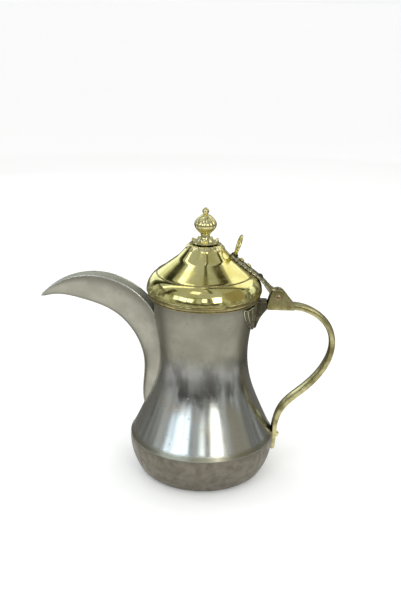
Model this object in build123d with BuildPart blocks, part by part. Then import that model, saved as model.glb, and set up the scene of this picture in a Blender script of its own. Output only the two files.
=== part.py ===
from build123d import *
import os
from math import atan2, cos, degrees, hypot, radians, sin

os.makedirs("parts", exist_ok=True)

# A dallah coffee pot. Millimetres, floor at Z = 0, vessel axis on Z,
# spout towards -X, handle and lid hinge towards +X, symmetric about Y = 0.

# ---- vessel ----
SHEET = 1.2              # wall of the tinned body sheet
FOOT_R = 49.2            # flat of the foot
BELLY_R = 66.1           # widest point, where the shoulder meets the bowl
SEAM_Z = 37.0            # height of that seam
WAIST_R = 40.3           # narrowest point of the neck
WAIST_Z = 117.0
NECK_R = 46.2            # straight end of the neck
NECK_STRAIGHT_Z = 168.0
NECK_TOP_Z = 172.0
LAP = 5.0                # height of the bowl's inner lap behind the shoulder
LAP_R = 61.5             # radius of the lap's upper edge
LAP_GAP = 0.1            # solder gap of laps and let-in plates
DISC_R = 44.0            # bottom plate, part that shows underneath
DISC_FLANGE_R = 48.0     # bottom plate, flange inside the bowl

# ---- collar ----
COLLAR_R = 50.0
COLLAR_Z = 169.0
COLLAR_TOP_Z = 174.2
MOUTH_R = 44.4

# ---- spout ----
SPOUT_STATIONS = 10      # sections of the beak, tip to root
SPOUT_TIP_HALF = 1.6     # half widths across the two top edges
SPOUT_ROOT_HALF = 13.4
SPOUT_GROWTH = 0.72      # how fast the width grows behind the tip
FLANK_WIDTH = 0.68       # share of the width reached at FLANK_HEIGHT
FLANK_HEIGHT = 0.36
POUR_TOP = (148.0, 8.0)  # height and radius of the pour opening's top end
POUR_FOOT = (96.0, 3.0)  # and of its lower end

# ---- hinge, handle and bracket ----
PIN_X = 65.1
PIN_Z = 169.8
PIN_R = 2.0
PIN_HEAD_R = 3.1
PIN_HEAD_THICK = 1.2
RUN_CLEARANCE = 0.06
CHEEK_R = 6.8            # round cheeks of the handle's head
HEAD_HALF = 5.8          # half width of the head
HEAD_CORNER_R = 1.0      # corners of the head's block under the cheeks
HEAD_END_X = 79.5        # where the head's block runs into the strap
SLOT_HALF = 3.2          # half width of the slot for the knuckle
SLOT_FLOOR_Z = 162.6
KNUCKLE_R = 6.0
KNUCKLE_HALF = 3.0
STRAP_HALF = 5.8         # half width of the handle strap
STRAP_EDGE = 3.9         # thickness of the strap at its edges
STRAP_CROWN = 0.9        # how far each broad face bulges
BRACKET_FACE_X = 56.0    # face where the bracket arm meets the handle's head
BRACKET_TOP_Z = 166.0
PALM_THICK = 2.0         # leaf plate of the bracket
PALM_HALF = 31.0
PALM_FOOT_Z = 140.5
ARM_FOOT_X = 46.6
ARM_HALF = 5.2           # half width of the bracket's arm
FOOT_RIVET_Z = 33.0
FOOT_RIVET_R = 1.6
FOOT_RIVET_HEAD_R = 2.8
FOOT_RIVET_FACE_X = 70.2

# ---- lid ----
LID_WALL = 1.0
RIM_R = 51.1
RIM_Z = 174.5
CREASE_R = 42.4
CREASE_Z = 190.2
CONE_FOOT = (41.3, 190.9)
CONE_HEAD = (24.0, 204.4)
LID_TOP_R = 13.6
LID_TOP_Z = 215.8
SKIRT_R = 43.4
SKIRT_FOOT_Z = 168.0
STUD_R = 2.5
PETALS = 8
PETAL_FOOT_R = 18.0            # foot of the draped petals
ROSETTE_R = 12.4
ROSETTE_THICK = 1.2
FLUTES = 14
FINIAL_BASE_R = 6.2
FINIAL_BALL_R = 9.7
FINIAL_BALL_Z = 233.6
LEAF_THICK = 3.6         # lid leaf, from the cone to its outer face
LEAF_HALF = 6.2
LEAF_TOP = 25.0          # leaf's upper end, along the cone from its foot
KNUCKLE_END = -40.0      # past the knuckle, along the same line
BLIND_BOSS = -8.0        # cast boss between the cone and the knuckle
BOSS_PLACES = (6.0, 14.0)  # rivets along the cone, from its foot
RIVET_R = 1.3
RIVET_HEAD_R = 2.5
RING_PLACE = 22.0            # foot of the ring, along the leaf
RING_R = 8.3
RING_WIRE_R = 1.3
RING_LEAN = 19.0         # degrees from upright


# ---- outlines that more than one piece shares ----

def shoulder_edge(inset):
    """Shoulder and neck outline, moved towards the axis by inset."""
    return Spline(
        (BELLY_R - inset, SEAM_Z),
        (55.0 - inset, 60.0),
        (43.8 - inset, 90.0),
        (WAIST_R - inset, WAIST_Z),
        (43.3 - inset, 145.0),
        (NECK_R - inset, NECK_STRAIGHT_Z),
        tangents=[(-0.55, 1), (0, 1)],
    )


def lid_curve(inset, drop):
    """Upper lid outline from the cone's foot to the flat top, moved in and its top lowered."""
    slope = Line((CONE_FOOT[0] - inset, CONE_FOOT[1]), (CONE_HEAD[0] - inset, CONE_HEAD[1]))
    return ThreePointArc(slope @ 1, (17.9 - inset, 211.0), (LID_TOP_R - inset, LID_TOP_Z - drop))


# Solid fillings, used only to trim the pieces that are fixed on the vessel and on the lid.
with BuildPart() as vessel_core:
    with BuildSketch(Plane.XZ):
        with BuildLine():
            foot_line = Line((0, 0), (FOOT_R, 0))
            foot_bend = TangentArc(foot_line @ 1, (58.2, 5.0), tangent=(1, 0))
            ThreePointArc(foot_bend @ 1, (64.2, 18.5), (BELLY_R, SEAM_Z))
            core_edge = shoulder_edge(0)
            Polyline(core_edge @ 1, (NECK_R, NECK_TOP_Z), (0, NECK_TOP_Z), (0, 0))
        make_face()
    revolve(axis=Axis.Z)

with BuildPart() as lid_core:
    with BuildSketch(Plane.XZ):
        with BuildLine():
            Polyline((0, RIM_Z), (RIM_R, RIM_Z))
            ThreePointArc((RIM_R, RIM_Z), (49.3, 182.6), (CREASE_R, CREASE_Z))
            Line((CREASE_R, CREASE_Z), CONE_FOOT)
            core_top = lid_curve(0, 0)
            Polyline(core_top @ 1, (0, LID_TOP_Z), (0, RIM_Z))
        make_face()
    revolve(axis=Axis.Z)


# ---- lower bowl: raised sheet with a turned-in foot and a lap behind the shoulder ----

with BuildPart() as lower_bowl:
    with BuildSketch(Plane.XZ):
        with BuildLine():
            foot = Line((DISC_R, 0), (FOOT_R, 0))
            bend = TangentArc(foot @ 1, (58.2, 5.0), tangent=(1, 0))
            ThreePointArc(bend @ 1, (64.2, 18.5), (BELLY_R, SEAM_Z))
            Line((BELLY_R, SEAM_Z), (BELLY_R - SHEET - LAP_GAP, SEAM_Z))
            Polyline(
                (BELLY_R - SHEET - LAP_GAP, SEAM_Z),
                (LAP_R, SEAM_Z + LAP),
                (LAP_R - SHEET, SEAM_Z + LAP),
                (BELLY_R - 2 * SHEET, SEAM_Z - 1),
            )
            ThreePointArc((BELLY_R - 2 * SHEET, SEAM_Z - 1), (62.9, 18.5), (57.2, 6.0))
            inner_bend = TangentArc((FOOT_R, SHEET), (57.2, 6.0), tangent=(1, 0))
            Line(inner_bend @ 0, (DISC_R, SHEET))
            Line((DISC_R, SHEET), foot @ 0)
        make_face()
    revolve(axis=Axis.Z)
    with BuildSketch(Plane.YZ.offset(BELLY_R + 5)):
        with Locations((0, FOOT_RIVET_Z)):
            Circle(FOOT_RIVET_R)
    extrude(amount=-10, mode=Mode.SUBTRACT)
lower_bowl.part.label = "lower_bowl"
export_step(lower_bowl.part, "parts/lower_bowl.step")


# ---- base disc: plate let in flush with the foot, its flange inside the bowl ----

with BuildPart() as base_disc:
    with BuildSketch():
        Circle(DISC_R - LAP_GAP)
    extrude(amount=SHEET)
    with BuildSketch(Plane.XY.offset(SHEET)):
        Circle(DISC_FLANGE_R)
    extrude(amount=SHEET)
base_disc.part.label = "base_disc"
export_step(base_disc.part, "parts/base_disc.step")


# ---- upper body: one spun sheet from the belly seam to the mouth ----

with BuildPart() as upper_body:
    with BuildSketch(Plane.XZ):
        with BuildLine():
            outer_edge = shoulder_edge(0)
            inner_edge = shoulder_edge(SHEET)
            Polyline(
                outer_edge @ 1,
                (NECK_R, NECK_TOP_Z),
                (NECK_R - SHEET, NECK_TOP_Z),
                inner_edge @ 1,
            )
            Line(outer_edge @ 0, inner_edge @ 0)
        make_face()
    revolve(axis=Axis.Z)
    with BuildSketch(Plane.YZ):
        with Locations((0, POUR_TOP[0])):
            Circle(POUR_TOP[1])
        with Locations((0, POUR_FOOT[0])):
            Circle(POUR_FOOT[1])
        make_hull()
    extrude(amount=-2 * NECK_R, mode=Mode.SUBTRACT)
upper_body.part.label = "upper_body"
export_step(upper_body.part, "parts/upper_body.step")


# ---- mouth collar: ring with a lip over the neck's end ----

with BuildPart() as mouth_collar:
    with BuildSketch(Plane.XZ):
        with BuildLine():
            Line((NECK_R, COLLAR_Z), (COLLAR_R - 0.7, COLLAR_Z))
            ThreePointArc(
                (COLLAR_R - 0.7, COLLAR_Z),
                (COLLAR_R, (COLLAR_Z + COLLAR_TOP_Z) / 2),
                (COLLAR_R - 0.4, COLLAR_TOP_Z),
            )
            Polyline(
                (COLLAR_R - 0.4, COLLAR_TOP_Z),
                (MOUTH_R, COLLAR_TOP_Z),
                (MOUTH_R, NECK_TOP_Z),
                (NECK_R, NECK_TOP_Z),
                (NECK_R, COLLAR_Z),
            )
        make_face()
    revolve(axis=Axis.Z)
mouth_collar.part.label = "mouth_collar"
export_step(mouth_collar.part, "parts/mouth_collar.step")


# ---- spout: folded beak, open along the top, with a keel below ----

with BuildLine(Plane.XZ) as beak_top:
    Spline(
        (-144.0, 167.0), (-121.0, 183.0), (-99.0, 187.3),
        (-73.5, 181.5), (-47.5, 160.5), (-34.0, 130.0), (-30.0, 117.0),
    )

with BuildLine(Plane.XZ) as beak_keel:
    Spline(
        (-144.4, 165.5), (-129.5, 168.2), (-109.0, 164.6), (-79.3, 152.2),
        (-60.1, 129.6), (-53.0, 105.0), (-53.6, 66.0), (-50.0, 54.0),
    )


def beak_section(share, wall):
    """Closed V across the beak at a share of its length; wall > 0 gives the channel."""
    keel = beak_keel.line @ share
    top = beak_top.line @ share
    height = (top - keel).length
    half = SPOUT_TIP_HALF + (SPOUT_ROOT_HALF - SPOUT_TIP_HALF) * share**SPOUT_GROWTH - wall
    flank = FLANK_WIDTH * (half + wall) - wall
    rise = FLANK_HEIGHT * height
    rim = height + 2 * wall
    normal = Vector(0, 1, 0).cross(top - keel)
    with BuildSketch(Plane(origin=keel, x_dir=(0, 1, 0), z_dir=normal)) as section:
        with BuildLine():
            Spline((-half, rim), (-flank, rise + wall), (0, 1.4 * wall), (flank, rise + wall), (half, rim))
            Line((half, rim), (-half, rim))
        make_face()
    return section.sketch


beak_shares = [index / (SPOUT_STATIONS - 1) for index in range(SPOUT_STATIONS)]
beak_outside = [beak_section(share, 0) for share in beak_shares]
beak_inside = [beak_section(share, SHEET * (0.4 + 0.6 * share**0.3)) for share in beak_shares]

with BuildPart() as spout:
    loft(sections=beak_outside)
    loft(sections=beak_inside, mode=Mode.SUBTRACT)
    add(vessel_core.part, mode=Mode.SUBTRACT)
spout.part.label = "spout"
export_step(spout.part, "parts/spout.step")


# ---- handle: cast strap, two hinge cheeks at its head, tail riveted to the bowl ----

with BuildPart() as handle:
    with BuildLine(Plane.XZ) as strap_path:
        Spline(
            (66.0, 160.8), (84.0, 160.3), (99.5, 154.3), (111.5, 142.5), (116.3, 125.0),
            (110.5, 103.5), (92.0, 80.3), (73.9, 61.6), (68.0, 43.0), (66.0, 18.5),
            tangents=[(1, 0), (-0.22, -1)],
        )
    with BuildSketch(Plane(origin=strap_path.line @ 0, x_dir=(0, 1, 0), z_dir=strap_path.line % 0)):
        with BuildLine():
            half_edge = STRAP_EDGE / 2
            ThreePointArc(
                (-STRAP_HALF, half_edge), (0, half_edge + STRAP_CROWN), (STRAP_HALF, half_edge)
            )
            Line((STRAP_HALF, half_edge), (STRAP_HALF, -half_edge))
            ThreePointArc(
                (STRAP_HALF, -half_edge), (0, -half_edge - STRAP_CROWN), (-STRAP_HALF, -half_edge)
            )
            Line((-STRAP_HALF, -half_edge), (-STRAP_HALF, half_edge))
        make_face()
    sweep(path=strap_path.line)
    with BuildSketch(Plane.XZ):
        with Locations((PIN_X, PIN_Z)):
            Circle(CHEEK_R)
        with Locations((BRACKET_FACE_X + HEAD_CORNER_R, 163.0), (BRACKET_FACE_X + HEAD_CORNER_R, 159.2)):
            Circle(HEAD_CORNER_R)
        with Locations((HEAD_END_X, 161.3), (HEAD_END_X, 159.2)):
            Circle(HEAD_CORNER_R)
        make_hull()
    extrude(amount=HEAD_HALF, both=True)
    with BuildSketch(Plane.XZ):
        with BuildLine():
            Polyline(
                (BRACKET_FACE_X - 1, SLOT_FLOOR_Z), (76.0, SLOT_FLOOR_Z), (82.0, 172.0), (82.0, 182.0),
                (BRACKET_FACE_X - 1, 182.0), (BRACKET_FACE_X - 1, SLOT_FLOOR_Z),
            )
        make_face()
    extrude(amount=SLOT_HALF, both=True, mode=Mode.SUBTRACT)
    with BuildSketch(Plane.XZ):
        with Locations((PIN_X, PIN_Z)):
            Circle(PIN_R)
    extrude(amount=2 * HEAD_HALF, both=True, mode=Mode.SUBTRACT)
    with BuildSketch(Plane.YZ.offset(BELLY_R - 2)):
        with Locations((0, FOOT_RIVET_Z)):
            Circle(FOOT_RIVET_R)
    extrude(amount=12, mode=Mode.SUBTRACT)
    add(vessel_core.part, mode=Mode.SUBTRACT)
handle.part.label = "handle"
export_step(handle.part, "parts/handle.step")


# ---- neck bracket: arm under the handle's head and a leaf plate soldered round the neck ----

with BuildPart() as neck_bracket:
    with BuildSketch(Plane.XZ):
        with BuildLine():
            palm_edge = shoulder_edge(-PALM_THICK)
            Polyline(palm_edge @ 1, (0, NECK_STRAIGHT_Z), (0, SEAM_Z), palm_edge @ 0)
        make_face()
    revolve(axis=Axis.Z)
    with BuildSketch(Plane.YZ):
        with BuildLine():
            Line((-PALM_HALF, BRACKET_TOP_Z), (PALM_HALF, BRACKET_TOP_Z))
            for side in (-1, 1):
                Spline(
                    (side * PALM_HALF, BRACKET_TOP_Z), (side * 0.86 * PALM_HALF, 155.3),
                    (side * 0.5 * PALM_HALF, 144.6), (0, PALM_FOOT_Z),
                    tangents=[(0, -1), (-side, 0)],
                )
        make_face()
    extrude(amount=2 * NECK_R, mode=Mode.INTERSECT)
    with BuildSketch(Plane.XZ):
        with BuildLine():
            Polyline(
                (ARM_FOOT_X, PALM_FOOT_Z), (40.0, PALM_FOOT_Z), (40.0, BRACKET_TOP_Z),
                (BRACKET_FACE_X, BRACKET_TOP_Z), (BRACKET_FACE_X, 158.2),
            )
            ThreePointArc((BRACKET_FACE_X, 158.2), (50.9, 151.4), (ARM_FOOT_X, PALM_FOOT_Z))
        make_face()
    extrude(amount=ARM_HALF, both=True)
    add(vessel_core.part, mode=Mode.SUBTRACT)
neck_bracket.part.label = "neck_bracket"
export_step(neck_bracket.part, "parts/neck_bracket.step")


# ---- hinge pin: shank through both cheeks with a peened dome at each end ----

with BuildPart() as hinge_pin:
    with BuildSketch(Plane.XZ):
        with Locations((PIN_X, PIN_Z)):
            Circle(PIN_R)
    extrude(amount=HEAD_HALF, both=True)
    for side in (-1, 1):
        with BuildSketch(Plane.XZ.offset(side * HEAD_HALF)):
            with Locations((PIN_X, PIN_Z)):
                Circle(PIN_HEAD_R)
        extrude(amount=side * PIN_HEAD_THICK)
    for rim in (0, -1):
        fillet(hinge_pin.edges().filter_by(GeomType.CIRCLE).group_by(Axis.Y)[rim], PIN_HEAD_THICK * 0.8)
hinge_pin.part.label = "hinge_pin"
export_step(hinge_pin.part, "parts/hinge_pin.step")


# ---- foot rivet: through the handle's tail and the bowl ----

with BuildPart() as foot_rivet:
    with BuildSketch(Plane.YZ.offset(BELLY_R - 2 * SHEET)):
        with Locations((0, FOOT_RIVET_Z)):
            Circle(FOOT_RIVET_HEAD_R)
    extrude(amount=2 * SHEET)
    with BuildSketch(Plane.YZ.offset(BELLY_R - SHEET)):
        with Locations((0, FOOT_RIVET_Z)):
            Circle(FOOT_RIVET_R)
    extrude(amount=6)
    with BuildSketch(Plane.YZ.offset(FOOT_RIVET_FACE_X)):
        with Locations((0, FOOT_RIVET_Z)):
            Circle(FOOT_RIVET_HEAD_R)
    extrude(amount=2.4)
    fillet(foot_rivet.edges().filter_by(GeomType.CIRCLE).group_by(Axis.X)[-1], 1.6)
    add(lower_bowl.part, mode=Mode.SUBTRACT)
    add(handle.part, mode=Mode.SUBTRACT)
foot_rivet.part.label = "foot_rivet"
export_step(foot_rivet.part, "parts/foot_rivet.step")


# ---- lid dome: spun brass, rim bulge, cone and flat top with the stud hole ----

def cone_point(along, out):
    """Point on the cone in XZ, along its slope from the foot and out along its normal."""
    run = CONE_FOOT[0] - CONE_HEAD[0]
    rise = CONE_HEAD[1] - CONE_FOOT[1]
    length = hypot(run, rise)
    x = CONE_FOOT[0] - along * run / length + out * rise / length
    z = CONE_FOOT[1] + along * rise / length + out * run / length
    return (x, z)


CONE_TILT = degrees(atan2(CONE_HEAD[1] - CONE_FOOT[1], CONE_FOOT[0] - CONE_HEAD[0]))
CONE_INSET = LID_WALL / sin(radians(CONE_TILT))


def boss_plane(along, out):
    """Plane on the cone's +X side whose normal stands out of the cone."""
    x, z = cone_point(along, out)
    normal = (sin(radians(CONE_TILT)), 0, cos(radians(CONE_TILT)))
    return Plane(origin=(x, 0, z), x_dir=(0, 1, 0), z_dir=normal)


with BuildPart() as lid_dome:
    with BuildSketch(Plane.XZ):
        with BuildLine():
            ThreePointArc((RIM_R, RIM_Z), (49.3, 182.6), (CREASE_R, CREASE_Z))
            Line((CREASE_R, CREASE_Z), CONE_FOOT)
            dome_top = lid_curve(0, 0)
            Polyline(
                dome_top @ 1, (STUD_R, LID_TOP_Z), (STUD_R, LID_TOP_Z - LID_WALL),
                (LID_TOP_R - CONE_INSET, LID_TOP_Z - LID_WALL),
            )
            lid_curve(CONE_INSET, LID_WALL)
            Line((CONE_FOOT[0] - CONE_INSET, CONE_FOOT[1]), (CREASE_R - CONE_INSET, CREASE_Z - 1))
            ThreePointArc(
                (CREASE_R - CONE_INSET, CREASE_Z - 1), (48.3, 181.9), (RIM_R - LID_WALL, RIM_Z)
            )
            Line((RIM_R - LID_WALL, RIM_Z), (RIM_R, RIM_Z))
        make_face()
    revolve(axis=Axis.Z)
    for place in BOSS_PLACES:
        with BuildSketch(boss_plane(place, 0)):
            Circle(RIVET_R)
        extrude(amount=3, both=True, mode=Mode.SUBTRACT)
lid_dome.part.label = "lid_dome"
export_step(lid_dome.part, "parts/lid_dome.step")


# ---- lid skirt: ring that drops into the mouth, its flange inside the rim ----

with BuildPart() as lid_skirt:
    with BuildSketch(Plane.XZ):
        with BuildLine():
            Polyline(
                (SKIRT_R, SKIRT_FOOT_Z), (SKIRT_R, RIM_Z), (RIM_R - LID_WALL - LAP_GAP, RIM_Z),
                (RIM_R - LID_WALL - 0.3, RIM_Z + LID_WALL), (SKIRT_R - LID_WALL, RIM_Z + LID_WALL),
                (SKIRT_R - LID_WALL, SKIRT_FOOT_Z), (SKIRT_R, SKIRT_FOOT_Z),
            )
        make_face()
    revolve(axis=Axis.Z)
lid_skirt.part.label = "lid_skirt"
export_step(lid_skirt.part, "parts/lid_skirt.step")


# ---- petal skirt: stamped leaves that drape from the lid's top over the cone ----

with BuildPart() as petal_skirt:
    with BuildSketch(Plane.XZ):
        with BuildLine():
            drape = ThreePointArc((PETAL_FOOT_R, 210.0), (15.9, 212.4), (LID_TOP_R, LID_TOP_Z))
            Polyline(
                drape @ 1, (STUD_R, LID_TOP_Z), (STUD_R, LID_TOP_Z + SHEET),
                (LID_TOP_R + 0.5, LID_TOP_Z + SHEET), (PETAL_FOOT_R + SHEET, 211.0), drape @ 0,
            )
        make_face()
    revolve(axis=Axis.Z)
    with BuildSketch(Plane.XY.offset(LID_TOP_Z - 15)):
        Circle(LID_TOP_R + 0.5)
        with PolarLocations(LID_TOP_R + 0.6, PETALS):
            Ellipse(PETAL_FOOT_R - LID_TOP_R, 5.2)
    extrude(amount=20, mode=Mode.INTERSECT)
    add(lid_core.part, mode=Mode.SUBTRACT)
petal_skirt.part.label = "petal_skirt"
export_step(petal_skirt.part, "parts/petal_skirt.step")


# ---- crown rosette: scalloped disc clamped under the finial ----

ROSETTE_Z = LID_TOP_Z + SHEET
with BuildPart() as crown_rosette:
    with BuildSketch(Plane.XZ):
        with BuildLine():
            Polyline((FINIAL_BASE_R, ROSETTE_Z + ROSETTE_THICK), (FINIAL_BASE_R, ROSETTE_Z), (8.5, ROSETTE_Z))
            Spline((8.5, ROSETTE_Z), (11.0, ROSETTE_Z + 0.7), (ROSETTE_R, ROSETTE_Z + 2.2))
            Line((ROSETTE_R, ROSETTE_Z + 2.2), (ROSETTE_R - 0.7, ROSETTE_Z + 3.2))
            Spline(
                (ROSETTE_R - 0.7, ROSETTE_Z + 3.2), (10.2, ROSETTE_Z + 2.0), (8.0, ROSETTE_Z + ROSETTE_THICK)
            )
            Line((8.0, ROSETTE_Z + ROSETTE_THICK), (FINIAL_BASE_R, ROSETTE_Z + ROSETTE_THICK))
        make_face()
    revolve(axis=Axis.Z)
    with BuildSketch(Plane.XY.offset(ROSETTE_Z)):
        Circle(ROSETTE_R - 2.6)
        with PolarLocations(ROSETTE_R - 3.4, PETALS):
            Circle(3.7)
    extrude(amount=5, mode=Mode.INTERSECT)
crown_rosette.part.label = "crown_rosette"
export_step(crown_rosette.part, "parts/crown_rosette.step")


# ---- finial: turned knob with a fluted ball, a bead tip and a stud through the lid ----

with BuildPart() as finial:
    with BuildSketch(Plane.XZ):
        with BuildLine():
            Polyline(
                (0, LID_TOP_Z - 3.0), (STUD_R, LID_TOP_Z - 3.0), (STUD_R, ROSETTE_Z),
                (FINIAL_BASE_R, ROSETTE_Z), (FINIAL_BASE_R, ROSETTE_Z + ROSETTE_THICK + 0.6),
            )
            Spline(
                (FINIAL_BASE_R, ROSETTE_Z + ROSETTE_THICK + 0.6), (4.3, 220.6), (3.8, 224.2),
                tangents=[(-0.8, 0.6), (0, 1)],
            )
            Spline(
                (3.8, 224.2), (7.6, 228.4), (FINIAL_BALL_R, FINIAL_BALL_Z), (7.0, 238.9), (2.3, 241.9),
                tangents=[(0.4, 1), (-1, 0.3)],
            )
            Line((2.3, 241.9), (2.3, 243.0))
            ThreePointArc((2.3, 243.0), (2.9, 244.8), (2.4, 246.6))
            ThreePointArc((2.4, 246.6), (1.9, 247.4), (0.9, 247.8))
            Polyline((0.9, 247.8), (0, 247.8), (0, LID_TOP_Z - 3.0))
        make_face()
    revolve(axis=Axis.Z)
    with BuildSketch(Plane.XY.offset(FINIAL_BALL_Z - 6)):
        with PolarLocations(FINIAL_BALL_R + 0.5, FLUTES):
            Circle(1.5)
    extrude(amount=12, mode=Mode.SUBTRACT)
finial.part.label = "finial"
export_step(finial.part, "parts/finial.step")


# ---- finial burr: washer that the stud's end is peened over, inside the lid ----

with BuildPart() as finial_burr:
    with BuildSketch(Plane.XY.offset(LID_TOP_Z - LID_WALL)):
        Circle(6.0)
        Circle(STUD_R, mode=Mode.SUBTRACT)
    extrude(amount=-1.4)
finial_burr.part.label = "finial_burr"
export_step(finial_burr.part, "parts/finial_burr.step")


# ---- lid leaf: hinge knuckle, arm and leaf riveted to the cone ----

with BuildPart() as lid_leaf:
    with BuildSketch(Plane.XZ):
        with BuildLine():
            Polyline(
                cone_point(0, -1.0), cone_point(LEAF_TOP, -1.0), cone_point(LEAF_TOP, LEAF_THICK - 1.2),
                cone_point(LEAF_TOP - 3, LEAF_THICK), cone_point(0, LEAF_THICK),
            )
            Spline(cone_point(0, LEAF_THICK), (54.2, 183.6), (60.4, 176.6), (PIN_X + 1, PIN_Z))
            Spline(cone_point(0, -1.0), (49.4, 182.8), (55.0, 176.2), (PIN_X - 1, PIN_Z))
            Line((PIN_X + 1, PIN_Z), (PIN_X - 1, PIN_Z))
        make_face()
        with Locations((PIN_X, PIN_Z)):
            Circle(KNUCKLE_R)
    extrude(amount=LEAF_HALF, both=True)
    with BuildSketch(boss_plane(0, 0)):
        with BuildLine():
            for side in (-1, 1):
                Polyline((0, KNUCKLE_END), (side * KNUCKLE_HALF, KNUCKLE_END), (side * KNUCKLE_HALF, -22.0))
                Spline(
                    (side * KNUCKLE_HALF, -22.0), (side * LEAF_HALF * 0.9, -13.0),
                    (side * LEAF_HALF, 2.0), (side * 5.2, 15.0), (0, LEAF_TOP),
                )
        make_face()
    extrude(amount=30, both=True, mode=Mode.INTERSECT)
    with BuildSketch(Plane.XZ):
        with Locations((PIN_X, PIN_Z)):
            Circle(PIN_R + RUN_CLEARANCE)
    extrude(amount=2 * HEAD_HALF, both=True, mode=Mode.SUBTRACT)
    for place in BOSS_PLACES:
        with BuildSketch(boss_plane(place, 0)):
            Circle(RIVET_R)
        extrude(amount=2 * LEAF_THICK, both=True, mode=Mode.SUBTRACT)
    with BuildSketch(boss_plane(BLIND_BOSS, LEAF_THICK - 2)):
        Circle(RIVET_HEAD_R)
    extrude(amount=3.0, taper=20)
    add(lid_core.part, mode=Mode.SUBTRACT)
lid_leaf.part.label = "lid_leaf"
export_step(lid_leaf.part, "parts/lid_leaf.step")


# ---- leaf rivets: domed outside on the leaf, flat inside under the cone ----

with BuildPart() as leaf_rivets:
    for place in BOSS_PLACES:
        with BuildSketch(boss_plane(place, -2 * LID_WALL)):
            Circle(RIVET_HEAD_R)
        extrude(amount=1.5 * LID_WALL)
        with BuildSketch(boss_plane(place, -LID_WALL)):
            Circle(RIVET_R)
        extrude(amount=LID_WALL + LEAF_THICK)
        with BuildSketch(boss_plane(place, LEAF_THICK)):
            Circle(RIVET_HEAD_R)
        extrude(amount=1.3, taper=30)
    add(lid_dome.part, mode=Mode.SUBTRACT)
    add(lid_leaf.part, mode=Mode.SUBTRACT)
leaf_rivets.part.label = "leaf_rivets"
export_step(leaf_rivets.part, "parts/leaf_rivets.step")


# ---- thumb ring: upright ring on the leaf's upper end ----

ring_up = Vector(sin(radians(RING_LEAN)), 0, cos(radians(RING_LEAN)))
ring_foot_x, ring_foot_z = cone_point(RING_PLACE, LEAF_THICK)
ring_foot = Vector(ring_foot_x, 0, ring_foot_z)
ring_centre = ring_foot + ring_up * (RING_R + 0.4 * RING_WIRE_R)
ring_normal = ring_up.cross(Vector(0, 1, 0))
with BuildPart() as thumb_ring:
    with BuildSketch(Plane(origin=ring_centre, x_dir=(0, 1, 0), z_dir=ring_up)):
        with Locations((RING_R, 0)):
            Circle(RING_WIRE_R)
    revolve(axis=Axis(ring_centre, ring_normal))
    with BuildSketch(Plane(origin=ring_foot - ring_up * 1.5, x_dir=(0, 1, 0), z_dir=ring_up)):
        Ellipse(3.4, 1.6)
    extrude(amount=2.2)
    add(lid_leaf.part, mode=Mode.SUBTRACT)
thumb_ring.part.label = "thumb_ring"
export_step(thumb_ring.part, "parts/thumb_ring.step")
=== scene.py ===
import cmath
import logging
import math
from dataclasses import dataclass
from enum import Enum
from typing import Callable, Sequence

import bmesh
import bpy
import numpy as np
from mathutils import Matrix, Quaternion, Vector, geometry, noise


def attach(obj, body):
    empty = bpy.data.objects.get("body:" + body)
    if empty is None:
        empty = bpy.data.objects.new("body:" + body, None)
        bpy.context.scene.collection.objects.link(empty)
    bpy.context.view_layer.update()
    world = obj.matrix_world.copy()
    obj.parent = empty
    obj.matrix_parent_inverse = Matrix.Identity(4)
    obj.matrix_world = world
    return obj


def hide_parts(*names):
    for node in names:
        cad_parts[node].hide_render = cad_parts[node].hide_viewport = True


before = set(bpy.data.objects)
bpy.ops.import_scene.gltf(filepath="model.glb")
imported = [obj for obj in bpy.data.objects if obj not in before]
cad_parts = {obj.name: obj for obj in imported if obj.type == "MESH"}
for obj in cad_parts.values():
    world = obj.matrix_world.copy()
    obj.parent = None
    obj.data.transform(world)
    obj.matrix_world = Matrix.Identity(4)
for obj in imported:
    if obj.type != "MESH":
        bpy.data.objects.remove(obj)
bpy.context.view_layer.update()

# A dallah coffee pot: tinned vessel with an open beak, and a hinged brass lid with a turned knob.
# Sizes are in millimetres and become metres when a mesh is made. Floor at height 0, vessel axis
# upright, beak towards -X, handle and lid hinge towards +X.

LOG = logging.getLogger("dallah")
MM = 0.001
TURN = 2 * math.pi

# Turns in degrees from which an edge stays crisp or is rounded, and how near points are joined, in metres.
CRISP = 38.0
BEVEL_FROM = 32.0
JOIN_WITHIN = 2e-6
SHUT_SAMPLES = 8

Colour = tuple[float, float, float]
Point2 = tuple[float, float]

# ---- sizes that several sub-assemblies share ----

SHEET = 1.2
BELLY_R = 66.1
SEAM_Z = 37.0
NECK_R = 46.2
NECK_STRAIGHT_Z = 168.0
NECK_TOP_Z = 172.0
PIN_X = 65.1
PIN_Z = 169.8
HEAD_HALF = 5.8
LID_TOP_R = 13.6
LID_TOP_Z = 215.8
CREASE_R = 42.4
CREASE_Z = 190.2
CONE_FOOT = (41.3, 190.9)
CONE_HEAD = (24.0, 204.4)
LEAF_THICK = 3.6
PETALS = 8


class Body(Enum):
    """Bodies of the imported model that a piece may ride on."""

    POT = "pot"
    LID = "lid"


class Slot(Enum):
    """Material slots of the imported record."""

    SHEET = "tinned_sheet"
    BOWL = "tinned_bowl"
    COLLAR = "collar_brass"
    LID = "lid_brass"
    HANDLE = "handle_brass"
    AGED = "aged_brass"
    COPPER = "copper_pin"


# ---- curves ----


def unit(vector: Sequence[float]) -> np.ndarray:
    """The vector at length one."""
    array = np.array(vector, float)
    return array / np.linalg.norm(array)


def run_along(points: np.ndarray) -> np.ndarray:
    """Length of the way to each point of a line."""
    return np.concatenate([[0.0], np.cumsum(np.linalg.norm(np.diff(points, axis=0), axis=1))])


def steps_round(count: int) -> np.ndarray:
    """Evenly spaced angles of one full turn."""
    return np.linspace(0, TURN, count, endpoint=False)


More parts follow.
